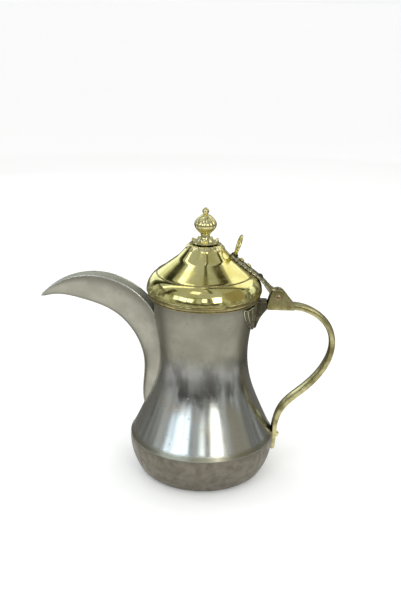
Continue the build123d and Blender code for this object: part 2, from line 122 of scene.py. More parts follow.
def polar(radius: np.ndarray | float, angles: np.ndarray, height: np.ndarray | float) -> np.ndarray:
    """Points at a radius, an angle and a height, with the coordinates last."""
    places = np.broadcast_arrays(radius * np.cos(angles), radius * np.sin(angles), height)
    return np.stack(places, axis=-1)


def level_outward(points: np.ndarray) -> np.ndarray:
    """Level directions from the upright axis towards the points."""
    outward = points * (1, 1, 0)
    return outward / np.linalg.norm(outward, axis=1, keepdims=True)


def on_middle(line: np.ndarray) -> np.ndarray:
    """A line of (x, z) as points of the middle plane."""
    return np.column_stack([line[:, 0], np.zeros(len(line)), line[:, 1]])


class Track:
    """Smooth curve through a few points, read by its share of the length."""

    FINE = 40

    def __init__(self, points: Sequence, start: Sequence | None = None, end: Sequence | None = None):
        """Fits the curve.

        Args:
            points: Points that the curve passes, in two or three coordinates.
            start: Direction at the first point, free where it is left out.
            end: Direction at the last point, free where it is left out.
        """
        knots = np.array(points, float)
        spans = np.linalg.norm(np.diff(knots, axis=0), axis=1)
        slopes = np.diff(knots, axis=0) / spans[:, None]
        rates = self._rates(spans, slopes, start, end)
        share = np.linspace(0, 1, self.FINE, endpoint=False)[:, None]
        stretches = []
        for index, span in enumerate(spans):
            here, there = knots[index], knots[index + 1]
            stretches.append(
                here * (2 * share**3 - 3 * share**2 + 1)
                + span * rates[index] * (share**3 - 2 * share**2 + share)
                + there * (3 * share**2 - 2 * share**3)
                + span * rates[index + 1] * (share**3 - share**2)
            )
        self._keep(np.vstack([*stretches, knots[-1:]]))

    @classmethod
    def through(cls, points: np.ndarray) -> "Track":
        """A track that keeps closely set points as they are."""
        track = cls.__new__(cls)
        track._keep(points)
        return track

    def _keep(self, points: np.ndarray) -> None:
        """Takes the curve's points and measures the way to each."""
        self.points = points
        self.lengths = run_along(points)

    @staticmethod
    def _rates(
        spans: np.ndarray, slopes: np.ndarray, start: Sequence | None, end: Sequence | None
    ) -> np.ndarray:
        """Rate of the curve at each knot.

        Args:
            spans: Lengths between the knots.
            slopes: Mean rates between the knots.
            start: Direction at the first knot.
            end: Direction at the last knot.

        Returns:
            One rate for each knot.
        """
        size = len(spans) + 1
        matrix = np.eye(size)
        right = np.zeros((size, slopes.shape[1]))
        second = min(1, len(spans) - 1)
        right[0] = slopes[0] + spans[0] / (spans[0] + spans[second]) * (slopes[0] - slopes[second])
        last_share = spans[-1] / (spans[-1] + spans[-1 - second])
        right[-1] = slopes[-1] + last_share * (slopes[-1] - slopes[-1 - second])
        if start is not None:
            right[0] = unit(start)
        if end is not None:
            right[-1] = unit(end)
        for index in range(1, size - 1):
            before, after = spans[index - 1], spans[index]
            matrix[index, index - 1 : index + 2] = after, 2 * (before + after), before
            right[index] = 3 * (after * slopes[index - 1] + before * slopes[index])
        return np.linalg.solve(matrix, right)

    def at(self, share: float | np.ndarray) -> np.ndarray:
        """Point, or points, at a share of the length from 0 to 1."""
        place = np.asarray(share, float) * self.lengths[-1]
        return np.stack([np.interp(place, self.lengths, axis) for axis in self.points.T], axis=-1)

    def sample(self, count: int) -> np.ndarray:
        """Points evenly spaced along the curve, both ends with them."""
        return self.at(np.linspace(0, 1, count))

    def heading(self, share: float | np.ndarray) -> np.ndarray:
        """Direction of travel at a share of the length."""
        share = np.asarray(share, float)
        step = 0.004
        ahead = self.at(np.clip(share + step, 0, 1)) - self.at(np.clip(share - step, 0, 1))
        return ahead / np.linalg.norm(ahead, axis=-1, keepdims=True)


def arc(start: Point2, middle: Point2, end: Point2, count: int = 16) -> np.ndarray:
    """Points of the circular arc through three points.

    Args:
        start: First point.
        middle: A point between the ends.
        end: Last point.
        count: How many points to give, the ends with them.

    Returns:
        The points, in order.
    """
    a, b, c = (complex(*point) for point in (start, middle, end))
    w = (c - a) / (b - a)
    centre = a + (b - a) * (w - abs(w) ** 2) / (2j * w.imag)
    spoke = a - centre
    first, swing, half = (cmath.phase(z) for z in (spoke, (c - centre) / spoke, (b - centre) / spoke))
    if half * swing < 0 or abs(half) > abs(swing):
        swing -= math.copysign(TURN, swing)
    angles = first + swing * np.linspace(0, 1, count)
    radius = abs(a - centre)
    return np.column_stack([centre.real + radius * np.cos(angles), centre.imag + radius * np.sin(angles)])


def softened(loop: Sequence, radius: float, steps: int = 4, sharp: float = 0.45) -> np.ndarray:
    """A closed outline with its sharp corners rounded.

    Args:
        loop: Outline points in order.
        radius: How far from a corner its rounding starts.
        steps: Spans of one rounding.
        sharp: Least turn, in radians, that counts as a corner.

    Returns:
        The rounded outline.
    """
    points = np.array(loop, float)
    result = []
    for index, corner in enumerate(points):
        back = points[index - 1] - corner
        ahead = points[(index + 1) % len(points)] - corner
        lengths = np.linalg.norm(back), np.linalg.norm(ahead)
        if min(lengths) < 1e-6:
            continue
        straight = float(np.clip(-back @ ahead / (lengths[0] * lengths[1]), -1, 1))
        if math.acos(straight) < sharp:
            result.append(corner)
            continue
        first = corner + back / lengths[0] * min(radius, lengths[0] * 0.45)
        last = corner + ahead / lengths[1] * min(radius, lengths[1] * 0.45)
        for step in range(steps + 1):
            share = step / steps
            result.append(first * (1 - share) ** 2 + 2 * corner * share * (1 - share) + last * share**2)
    return np.array(result)


def ripple(points: np.ndarray, reach: float, seed: float) -> np.ndarray:
    """Slow unevenness of hand-worked metal, from -1 to 1.

    Args:
        points: Places, in millimetres, with the coordinates last.
        reach: Size of one swell in millimetres.
        seed: Moves the pattern.

    Returns:
        One number for each place.
    """
    flat = points.reshape(-1, 3) / reach + seed
    values = np.array([noise.noise(Vector(place)) for place in flat])
    return values.reshape(points.shape[:-1])


# ---- meshes ----


def make_object(name: str, vertices: np.ndarray, faces: Sequence, sharp: float = CRISP) -> bpy.types.Object:
    """A smooth-shaded object from points in millimetres.

    Args:
        name: Name of the object.
        vertices: Points in millimetres.
        faces: Index lists.
        sharp: Edges that turn by more than this many degrees stay crisp.

    Returns:
        The object, linked to the scene.
    """
    mesh = bpy.data.meshes.new(name)
    points = (np.asarray(vertices, float) * MM).tolist()
    mesh.from_pydata(points, [], [list(map(int, face)) for face in faces])
    finish_mesh(mesh, sharp)
    item = bpy.data.objects.new(name, mesh)
    bpy.context.scene.collection.objects.link(item)
    return item


def finish_mesh(mesh: bpy.types.Mesh, sharp: float = CRISP) -> None:
    """Joins doubled points, turns faces outward, shades smooth and keeps crisp edges.

    Args:
        mesh: Mesh that is changed.
        sharp: Least turn in degrees of a crisp edge.
    """
    limit = math.radians(sharp)
    work = bmesh.new()
    work.from_mesh(mesh)
    bmesh.ops.remove_doubles(work, verts=work.verts, dist=JOIN_WITHIN)
    bmesh.ops.recalc_face_normals(work, faces=work.faces)
    for face in work.faces:
        face.smooth = True
    for edge in work.edges:
        if len(edge.link_faces) == 2:
            edge.smooth = edge.calc_face_angle(0.0) < limit
    work.to_mesh(mesh)
    work.free()


def grid_object(
    name: str, grid: np.ndarray, around: bool = True, along: bool = True, sharp: float = CRISP
) -> bpy.types.Object:
    """An object from a grid of points.

    Args:
        name: Name of the object.
        grid: Points in millimetres, rows by columns by three.
        around: Whether the last row joins the first.
        along: Whether the last column joins the first.
        sharp: Least turn in degrees of a crisp edge.

    Returns:
        The object.
    """
    rows, columns = grid.shape[:2]
    faces = []
    for row in range(rows if around else rows - 1):
        below = (row + 1) % rows
        for column in range(columns if along else columns - 1):
            right = (column + 1) % columns
            upper, lower = row * columns, below * columns
            faces.append((upper + column, upper + right, lower + right, lower + column))
    return make_object(name, grid.reshape(-1, 3), faces, sharp)


def lathe(
    name: str,
    outline: np.ndarray,
    segments: int = 160,
    shape: Callable[[np.ndarray, np.ndarray], np.ndarray] | None = None,
    origin: Sequence = (0, 0, 0),
    axis: Sequence = (0, 0, 1),
) -> bpy.types.Object:
    """A turned piece from a closed outline.

    Args:
        name: Name of the object.
        outline: Closed loop of (radius, height) in millimetres.
        segments: Steps round the axis.
        shape: Gives a change of radius from angles and a row of the outline, if the piece isn't round.
        origin: Foot of the axis, in millimetres.
        axis: Direction of the axis.

    Returns:
        The object.
    """
    angles = steps_round(segments)[:, None]
    radii = np.broadcast_to(outline[:, 0], (segments, len(outline)))
    heights = np.broadcast_to(outline[:, 1], radii.shape)
    if shape is not None:
        radii = radii + shape(angles, outline)
    up = unit(axis)
    leans = abs(up[1]) < 0.9 and abs(up[2]) <= 0.999
    across = unit(np.cross(up, (0, 1, 0)) if leans else (1, 0, 0))
    beside = np.cross(up, across)
    grid = (
        np.array(origin, float)
        + (radii * np.cos(angles))[..., None] * across
        + (radii * np.sin(angles))[..., None] * beside
        + heights[..., None] * up
    )
    return grid_object(name, grid)


def capped_object(name: str, grid: np.ndarray, sharp: float = CRISP) -> bpy.types.Object:
    """An object from rows of closed loops; the first and last loops are closed at their middle."""
    ends = [grid[index].mean(axis=0)[None, None].repeat(grid.shape[1], axis=1) for index in (0, -1)]
    return grid_object(name, np.concatenate([ends[0], grid, ends[1]]), around=False, sharp=sharp)


def sweep(
    name: str, centres: np.ndarray, sides: np.ndarray, ups: np.ndarray, sections: np.ndarray,
    sharp: float = CRISP,
) -> bpy.types.Object:
    """A piece whose closed section runs along a path, with closed ends.

    Args:
        name: Name of the object.
        centres: Points of the path in millimetres.
        sides: Direction of the section's first axis at each point.
        ups: Direction of the section's second axis at each point.
        sections: One closed loop of section points for each point of the path.
        sharp: Least turn in degrees of a crisp edge.

    Returns:
        The object.
    """
    across = sections[..., 0:1] * sides[:, None, :]
    upward = sections[..., 1:2] * ups[:, None, :]
    return capped_object(name, centres[:, None, :] + across + upward, sharp)


def tube(
    name: str, centres: np.ndarray, radii: np.ndarray | float, reference: np.ndarray, sides: int = 12
) -> bpy.types.Object:
    """A round bar along a path.

    Args:
        name: Name of the object.
        centres: Points of the path in millimetres.
        radii: One radius, or one for each point.
        reference: Direction, or directions, that aren't along the path.
        sides: Steps round the bar.

    Returns:
        The object.
    """
    ahead = np.gradient(centres, axis=0)
    ahead /= np.linalg.norm(ahead, axis=1, keepdims=True)
    beside = np.cross(ahead, np.broadcast_to(reference, ahead.shape))
    beside /= np.linalg.norm(beside, axis=1, keepdims=True)
    above = np.cross(beside, ahead)
    angles = steps_round(sides)
    ring = np.column_stack([np.cos(angles), np.sin(angles)])
    sizes = np.broadcast_to(np.asarray(radii, float), (len(centres),))
    return sweep(name, centres, beside, above, sizes[:, None, None] * ring[None])


def prism(name: str, vertices: Sequence) -> bpy.types.Object:
    """A bar between two like outlines, given one after the other."""
    count = len(vertices) // 2
    faces = [range(count), range(2 * count - 1, count - 1, -1)]
    faces += [(i, (i + 1) % count, count + (i + 1) % count, count + i) for i in range(count)]
    return make_object(name, np.array(vertices), faces)


def plate(name: str, outline: Sequence, half: float) -> bpy.types.Object:
    """A prism whose outline lies in XZ and which reaches half either side of the middle plane."""
    return prism(name, [(x, side * half, z) for side in (-1, 1) for x, z in outline])


def hull(circles: Sequence[tuple[float, float, float]]) -> np.ndarray:
    """Outline round several circles, each given as x, z and radius."""
    angles = steps_round(40)
    rounds = [np.column_stack([x + r * np.cos(angles), z + r * np.sin(angles)]) for x, z, r in circles]
    points = np.vstack(rounds)
    order = geometry.convex_hull_2d([Vector(point) for point in points])
    return points[order]


def apply_modifiers(item: bpy.types.Object) -> None:
    """Turns the object's modifiers into plain mesh."""
    bpy.context.view_layer.update()
    graph = bpy.context.evaluated_depsgraph_get()
    mesh = bpy.data.meshes.new_from_object(item.evaluated_get(graph))
    item.modifiers.clear()
    item.data = mesh
    finish_mesh(mesh)


def cut(item: bpy.types.Object, cutter: bpy.types.Object) -> None:
    """Takes the cutter's volume out of the piece and the cutter out of the scene.

    Args:
        item: Piece that is cut.
        cutter: Closed shape.
    """
    modifier = item.modifiers.new("cut", "BOOLEAN")
    modifier.operation = "DIFFERENCE"
    modifier.solver = "EXACT"
    modifier.object = cutter
    apply_modifiers(item)
    bpy.data.objects.remove(cutter)


def soften(item: bpy.types.Object, width: float, segments: int = 3) -> None:
    """Rounds the piece's sharp edges by a width in millimetres."""
    modifier = item.modifiers.new("soften", "BEVEL")
    modifier.width = width * MM
    modifier.segments = segments
    modifier.limit_method = "ANGLE"
    modifier.angle_limit = math.radians(BEVEL_FROM)
    apply_modifiers(item)


# ---- shader graphs ----


class Signal:
    """Output socket of a graph; arithmetic on it adds Math nodes."""

    def __init__(self, graph: "Graph", socket: bpy.types.NodeSocket):
        """Wraps a socket of the graph."""
        self.graph = graph
        self.socket = socket

    def _join(self, operation: str, left: "Signal | float", right: "Signal | float") -> "Signal":
        """Adds one Math node on two values."""
        return self.graph.node("ShaderNodeMath", {"operation": operation}, {0: left, 1: right})

    def __add__(self, other: "Signal | float") -> "Signal":
        """Sum."""
        return self._join("ADD", self, other)

    __radd__ = __add__

    def __sub__(self, other: "Signal | float") -> "Signal":
        """Difference."""
        return self._join("SUBTRACT", self, other)

    def __rsub__(self, other: "Signal | float") -> "Signal":
        """Difference, the other way round."""
        return self._join("SUBTRACT", other, self)

    def __mul__(self, other: "Signal | float") -> "Signal":
        """Product."""
        return self._join("MULTIPLY", self, other)

    __rmul__ = __mul__


Feed = Signal | float | tuple


class Graph:
    """Node tree of one material, with the Principled shader in place."""

    def __init__(self, name: str):
        """Starts an empty material of that name."""
        self.material = bpy.data.materials.new(name)
        self.material.use_nodes = True
        self.tree = self.material.node_tree
        self.tree.nodes.clear()
        self.shader = self.tree.nodes.new("ShaderNodeBsdfPrincipled")
        output = self.tree.nodes.new("ShaderNodeOutputMaterial")
        self.tree.links.new(self.shader.outputs[0], output.inputs["Surface"])
        self.place = self.node("ShaderNodeTexCoord", {}, {}, "Object")

    def feed(self, node: bpy.types.Node, key: str | int, value: Feed) -> None:
        """Links or sets one input socket, found by its place, name or identifier."""
        if isinstance(key, int):
            socket = node.inputs[key]
        else:
            socket = next(s for s in node.inputs if key in (s.identifier, s.name))
        if isinstance(value, Signal):
            self.tree.links.new(value.socket, socket)
        elif isinstance(value, tuple) and len(value) == 3 and socket.type == "RGBA":
            socket.default_value = (*value, 1.0)
        else:
            socket.default_value = value

    def node(self, kind: str, settings: dict, sockets: dict, out: str | int = 0) -> Signal:
        """Adds one node.

        Args:
            kind: The node's type.
            settings: Its properties, set first.
            sockets: Value or link of each input socket.
            out: Which output is wanted.

        Returns:
            That output.
        """
        node = self.tree.nodes.new(kind)
        for key, value in settings.items():
            setattr(node, key, value)
        for key, value in sockets.items():
            self.feed(node, key, value)
        if isinstance(out, int):
            return Signal(self, node.outputs[out])
        return Signal(self, next(s for s in node.outputs if out in (s.identifier, s.name)))

    def dress(self, sockets: dict) -> bpy.types.Material:
        """Feeds the shader's sockets and gives the material."""
        for key, value in sockets.items():
            self.feed(self.shader, key, value)
        return self.material

    def glow(self, colour: Feed, strength: float = 1.0) -> bpy.types.Material:
        """Gives the material a light of its own and nothing else."""
        dark = {"Base Color": (0.0, 0.0, 0.0), "Roughness": 1.0, "Specular IOR Level": 0.0}
        return self.dress(dark | {"Emission Color": colour, "Emission Strength": strength})

    def stretched(self, scale: tuple) -> Signal:
        """Object coordinates multiplied by a scale along each axis."""
        return self.node("ShaderNodeMapping", {}, {"Vector": self.place, "Scale": scale})

    def cloud(
        self, scale: float, detail: float = 3.0, rough: float = 0.55, place: Signal | None = None
    ) -> Signal:
        """Noise from 0 to 1 with that many features in a metre."""
        sockets = {"Vector": place or self.place, "Scale": scale, "Detail": detail, "Roughness": rough}
        return self.node("ShaderNodeTexNoise", {}, sockets, "Fac")

    def cells(self, scale: float) -> Signal:
        """Distance to the nearest of many scattered points."""
        return self.node("ShaderNodeTexVoronoi", {}, {"Vector": self.place, "Scale": scale}, "Distance")

    def between(self, value: Signal, low: float, high: float, start: float = 0.0, end: float = 1.0) -> Signal:
        """Maps low..high smoothly to start..end and holds it outside."""
        sockets = {"Value": value, "From Min": low, "From Max": high, "To Min": start, "To Max": end}
        return self.node("ShaderNodeMapRange", {"interpolation_type": "SMOOTHSTEP"}, sockets)

    def tint(self, mask: Feed, first: Feed, second: Feed) -> Signal:
        """Colour that goes from the first to the second with the mask."""
        sockets = {"Factor_Float": mask, "A_Color": first, "B_Color": second}
        return self.node("ShaderNodeMix", {"data_type": "RGBA"}, sockets, "Result_Color")

    def hollow(self, reach: float) -> Signal:
        """How shut in a place is, from 0 in the open to 1 in a crack; reach is in metres."""
        settings = {"samples": SHUT_SAMPLES}
        return 1 - self.node("ShaderNodeAmbientOcclusion", settings, {"Distance": reach}, "AO")

    def edge(self) -> Signal:
        """How far a place stands out as an edge, from 0 to 1."""
        pointed = self.node("ShaderNodeNewGeometry", {}, {}, "Pointiness")
        return self.between(pointed, 0.505, 0.56)

    def along(self, axis: str) -> Signal:
        """Place along an axis in metres."""
        return self.node("ShaderNodeSeparateXYZ", {}, {"Vector": self.place}, axis)


# ---- finishes ----


@dataclass(frozen=True)
class Metal:
    """A worked metal surface: clean tone, duller patches, hollows darkened with grime and painted shade,
    edges lightened with wear and a painted highlight, fine marks.
    """

    name: str
    clean: Colour
    dull: Colour
    # Colour of grime in pits, and of the darkening in hollows, which is grime and painted shade.
    grime_and_shade: Colour
    smooth: float
    rough: float
    patch: float = 45.0
    brush: tuple = (60.0, 60.0, 900.0)
    brush_depth: float = 0.00003
    pits: float = 0.00005
    pit_scale: float = 700.0
    reach: float = 0.004
    # Share of occlusion at which hollows start to darken with grime and painted shade in gaps and creases.
    grime_and_shade_start: float = 0.25
    # How far edges lighten towards the clean colour: wear, and a painted highlight.
    edge_wear_and_highlight: float = 0.35
    metallic: float = 1.0

    def tone(self, graph: Graph, patches: Signal) -> Signal:
        """Colour before grime, from the broad patches."""
        return graph.tint(patches, self.clean, self.dull)

    def gloss(self, graph: Graph, patches: Signal) -> Signal:
        """Roughness before fine marks, from the broad patches."""
        return graph.between(patches, 0.0, 1.0, self.smooth, self.rough)

    def build(self) -> bpy.types.Material:
        """Makes the material, once, and gives it.

        Returns:
            The material of this finish.
        """
        known = bpy.data.materials.get(self.name)
        if known is not None:
            return known
        graph = Graph(self.name)
        patches = graph.between(graph.cloud(self.patch, 5.0, 0.6), 0.34, 0.68)
        marks = graph.cloud(1.0, 4.0, 0.65, graph.stretched(self.brush))
        specks = graph.between(graph.cells(self.pit_scale), 0.08, 0.30)
        scatter = graph.between(graph.cloud(self.patch * 4, 2.0), 0.54, 0.66)
        pits = (1 - specks) * scatter
        # Occlusion mask: hollows get darker, with grime and painted shade, and rougher.
        shut = graph.between(graph.hollow(self.reach), self.grime_and_shade_start, 0.85)
        colour = graph.tint(pits * 0.45, self.tone(graph, patches), self.grime_and_shade)
        # Edges lightened towards the clean colour, as wear and as a painted highlight.
        colour = graph.tint(graph.edge() * self.edge_wear_and_highlight, colour, self.clean)
        # Painted shade, with grime, in hollows and in gaps between parts.
        colour = graph.tint(shut, colour, self.grime_and_shade)
        rough = self.gloss(graph, patches) + (marks - 0.5) * 0.12 + pits * 0.15 + shut * 0.2
        relief = marks * (self.brush_depth / self.pits) - pits
        sockets = {"Strength": 1.0, "Distance": self.pits, "Height": relief}
        bump = graph.node("ShaderNodeBump", {}, sockets, "Normal")
        return graph.dress(
            {"Base Color": colour, "Roughness": rough, "Metallic": self.metallic, "Normal": bump}
        )


@dataclass(frozen=True)
class TinnedSheet(Metal):
    """Tinned sheet, satin on the neck and burnished on the flare below it, with a band of painted dark
    reflection at the waist.
    """

    polished: float = 0.17
    polish_top: float = 0.124
    polish_foot: float = 0.098
    # Heights and colour of the painted dark reflection band on the waist.
    shade_top: float = 0.130
    shade_foot: float = 0.112
    shade_end: float = 0.094
    shade: Colour = (0.115, 0.105, 0.10)
    band_top: float = 0.0435
    band_foot: float = 0.0395
    bright: Colour = (0.60, 0.62, 0.615)
    warm: Colour = (0.58, 0.47, 0.33)

    def burnish(self, graph: Graph) -> Signal:
        """1 on the burnished flare, 0 on the satin neck."""
        wander = (graph.cloud(22.0, 2.0) - 0.5) * 0.016
        upper = graph.between(graph.along("Z") + wander, self.polish_top, self.polish_foot)
        return upper * graph.between(graph.along("Z") + wander * 0.2, self.band_foot, self.band_top)

    def tone(self, graph: Graph, patches: Signal) -> Signal:
        """Colour of the tin, with copper showing faintly where it is burnished thin, and the painted dark
        reflection band.
        """
        burnish = self.burnish(graph)
        thin = graph.between(graph.cloud(24.0, 3.0), 0.54, 0.72) * burnish
        satin = super().tone(graph, patches)
        tin = graph.tint(thin * 0.45, graph.tint(burnish, satin, self.bright), self.warm)
        # The waist band darkens the tin as a painted dark reflection.
        return graph.tint(self.dark_reflection_band(graph), tin, self.shade)

    def dark_reflection_band(self, graph: Graph) -> Signal:
        """Uneven band of painted dark reflection where the neck turns into the flare."""
        upright = graph.stretched((70.0, 70.0, 26.0))
        wander = (graph.cloud(1.0, 3.0, 0.6, upright) - 0.5) * 0.05
        height = graph.along("Z") + wander
        upper = graph.between(height, self.shade_top, self.shade_foot)
        band = upper * graph.between(height, self.shade_end - 0.012, self.shade_end)
        return band * graph.between(graph.cloud(1.0, 2.0, 0.5, upright), 0.34, 0.60, 0.12, 0.70)

    def gloss(self, graph: Graph, patches: Signal) -> Signal:
        """Roughness, low on the burnished flare."""
        satin = super().gloss(graph, patches)
        burnish = self.burnish(graph)
        return satin * (1 - burnish) + (patches * 0.06 + self.polished) * burnish


TIN_SHEET = TinnedSheet(
    "tin_satin_sheet", (0.36, 0.352, 0.285), (0.31, 0.298, 0.235), (0.075, 0.07, 0.055), 0.30, 0.38,
    brush_depth=0.000012, pits=0.00003, pit_scale=420.0,
)
TIN_SPOUT = Metal(
    "tin_satin_beak", (0.46, 0.45, 0.375), (0.40, 0.388, 0.318), (0.09, 0.085, 0.07), 0.26, 0.36,
    brush=(80.0, 80.0, 500.0), brush_depth=0.000012, pits=0.00004, pit_scale=420.0, edge_wear_and_highlight=0.6,
    reach=0.003, grime_and_shade_start=0.55,
)
TIN_LINING = Metal(
    "tin_beak_lining", (0.62, 0.63, 0.56), (0.50, 0.50, 0.43), (0.10, 0.09, 0.07), 0.42, 0.58,
    patch=90.0, brush_depth=0.00002, reach=0.003, grime_and_shade_start=0.6, metallic=0.45,
)
# Pale tin of the beads on the beak's top edges, a painted highlight along them.
TIN_EDGE_HIGHLIGHT = Metal(
    "tin_edge_painted_highlight", (0.78, 0.78, 0.72), (0.55, 0.55, 0.48), (0.10, 0.095, 0.08), 0.16, 0.28,
    patch=120.0, brush=(200.0, 200.0, 200.0), pits=0.00003, edge_wear_and_highlight=0.6, reach=0.002, grime_and_shade_start=0.6,
)
TIN_BOWL = Metal(
    "tin_matt_bowl", (0.232, 0.212, 0.17), (0.185, 0.167, 0.13), (0.10, 0.09, 0.065), 0.40, 0.54,
    patch=120.0, brush_depth=0.00002, pits=0.00007, pit_scale=520.0,
)
TIN_INSIDE = Metal(
    "tin_inside", (0.33, 0.32, 0.28), (0.24, 0.22, 0.18), (0.06, 0.055, 0.045), 0.42, 0.6,
    patch=70.0, brush_depth=0.00002,
)
SOLDER = Metal(
    "tin_solder", (0.42, 0.41, 0.36), (0.28, 0.27, 0.23), (0.08, 0.075, 0.06), 0.34, 0.5,
    patch=160.0, brush=(300.0, 300.0, 300.0), pits=0.00008,
)
LID_BRASS = Metal(
    "brass_polished", (0.84, 0.79, 0.36), (0.70, 0.62, 0.22), (0.10, 0.075, 0.015), 0.075, 0.15,
    patch=60.0, brush=(40.0, 40.0, 700.0), brush_depth=0.000006, pits=0.00002, pit_scale=600.0, reach=0.0025,
    grime_and_shade_start=0.45,
)
CAST_BRASS = Metal(
    "brass_cast_polished", (0.90, 0.85, 0.48), (0.64, 0.56, 0.24), (0.13, 0.095, 0.02), 0.12, 0.24,
    patch=190.0, brush=(260.0, 260.0, 260.0), brush_depth=0.00002, pits=0.00004, reach=0.003,
    grime_and_shade_start=0.52,
)
COLLAR_BRASS = Metal(
    "brass_collar", (0.46, 0.40, 0.19), (0.28, 0.23, 0.10), (0.035, 0.03, 0.015), 0.20, 0.36,
    patch=110.0, brush=(90.0, 90.0, 1200.0), brush_depth=0.00003, reach=0.003, grime_and_shade_start=0.10,
)
HANDLE_BRASS = Metal(
    "brass_handle", (0.62, 0.57, 0.30), (0.24, 0.205, 0.08), (0.035, 0.03, 0.01), 0.17, 0.30,
    patch=75.0, brush=(220.0, 500.0, 220.0), brush_depth=0.00003, pits=0.00006, edge_wear_and_highlight=0.8, reach=0.006,
    grime_and_shade_start=0.18,
)
BRONZE = Metal(
    "brass_aged_dark", (0.52, 0.50, 0.35), (0.16, 0.148, 0.09), (0.016, 0.014, 0.008), 0.20, 0.38,
    patch=240.0, brush=(300.0, 300.0, 300.0), pits=0.00007, edge_wear_and_highlight=0.9, reach=0.004, grime_and_shade_start=0.12,
)
LEAF_BRASS = Metal(
    "brass_leaf_dark", (0.38, 0.36, 0.23), (0.075, 0.068, 0.038), (0.016, 0.014, 0.008), 0.18, 0.36,
    patch=240.0, brush=(300.0, 300.0, 300.0), pits=0.00007, edge_wear_and_highlight=0.9, reach=0.004, grime_and_shade_start=0.12,
)
# Blackened brass; on the bracket's border cord it is a painted shadow.
BLACKENED_AND_SHADE = Metal(
    "brass_blackened_and_painted_shade", (0.15, 0.14, 0.09), (0.045, 0.04, 0.025), (0.012, 0.011, 0.007), 0.24, 0.42,
    patch=260.0, brush=(300.0, 300.0, 300.0), pits=0.00007, edge_wear_and_highlight=0.8, grime_and_shade_start=0.12,
)
COPPER = Metal(
    "copper_peened", (0.36, 0.23, 0.16), (0.20, 0.12, 0.08), (0.05, 0.03, 0.02), 0.22, 0.38,
    patch=300.0, brush=(400.0, 400.0, 400.0), pits=0.00006, edge_wear_and_highlight=0.8,
)


def paint(item: bpy.types.Object, finish: Metal) -> None:
    """Makes the finish the piece's only material."""
    item.data.materials.clear()
    item.data.materials.append(finish.build())


def fit(item: bpy.types.Object, finish: Metal, body: Body, slot: Slot, *nodes: str) -> bpy.types.Object:
    """Gives a new piece its finish and its body, and hides the CAD nodes that it stands for.

    Args:
        item: The piece, in place.
        finish: Its finish.
        body: Body that it rides on.
        slot: Record slot that its finish belongs to; not used.
        nodes: CAD nodes that are hidden in its favour.

    Returns:
        The same piece.
    """
    paint(item, finish)
    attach(item, body.value)
    if nodes:
        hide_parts(*nodes)
    LOG.info("piece %s: %d faces", item.name, len(item.data.polygons))
    return item


def dress_node(node: str, finish: Metal) -> None:
    """Gives a carried-over CAD node its finish."""
    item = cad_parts[node]
    paint(item, finish)
    for polygon in item.data.polygons:
        polygon.material_index = 0
    LOG.info("node %s dressed", node)


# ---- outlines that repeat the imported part's ----


def shoulder_track(inset: float) -> Track:
    """Shoulder and neck outline as (radius, height), moved towards the axis by inset."""
    waist = [(55.0, 60.0), (43.8, 90.0), (40.3, 117.0), (43.3, 145.0)]
    knots = [(BELLY_R, SEAM_Z), *waist, (NECK_R, NECK_STRAIGHT_Z)]
    return Track([(r - inset, z) for r, z in knots], (-0.55, 1), (0, 1))


NECK_LINE = shoulder_track(0).sample(120)


def vessel_radius(height: float | np.ndarray) -> np.ndarray:
    """Outer radius of the shoulder and neck at a height."""
    return np.interp(height, NECK_LINE[:, 1], NECK_LINE[:, 0])


def lid_line() -> Track:
    """Outer line of the lid as (radius, height), from the axis out to the cone's foot."""
    top = [(0.0, LID_TOP_Z), (LID_TOP_R, LID_TOP_Z)]
    crown = arc((LID_TOP_R, LID_TOP_Z), (17.9, 211.0), CONE_HEAD, 14)[1:]
    flat = np.linspace(top[0], top[1], 6)
    slope = np.linspace(CONE_HEAD, CONE_FOOT, 12)[1:]
    return Track.through(np.vstack([flat, crown, slope]))


def turned_swell(
    angles: np.ndarray, outline: np.ndarray, squash: float, reach: float, seed: float
) -> np.ndarray:
    """Slow unevenness over a turned face, from -1 to 1.

    Args:
        angles: Angles round the axis, one to a row.
        outline: The face's line of (radius, height).
        squash: Share of the height that counts; less than 1 draws the swells out upright.
        reach: Size of one swell in millimetres.
        seed: Moves the pattern.

    Returns:
        One number for each angle and outline point.
    """
    return ripple(polar(outline[:, 0], angles, outline[:, 1] * squash), reach, seed)


def cone_point(along: float, out: float) -> tuple[float, float]:
    """Point on the lid's cone as (x, z), along its slope from the foot and out along its normal."""
    run = CONE_FOOT[0] - CONE_HEAD[0]
    rise = CONE_HEAD[1] - CONE_FOOT[1]
    length = math.hypot(run, rise)
    return (
        CONE_FOOT[0] - along * run / length + out * rise / length,
        CONE_FOOT[1] + along * rise / length + out * run / length,
    )


def cone_normal() -> np.ndarray:
    """Direction that stands out of the cone on its +X side."""
    foot, out = cone_point(0, 0), cone_point(0, 1)
    return np.array([out[0] - foot[0], 0.0, out[1] - foot[1]])


# ---- vessel ----


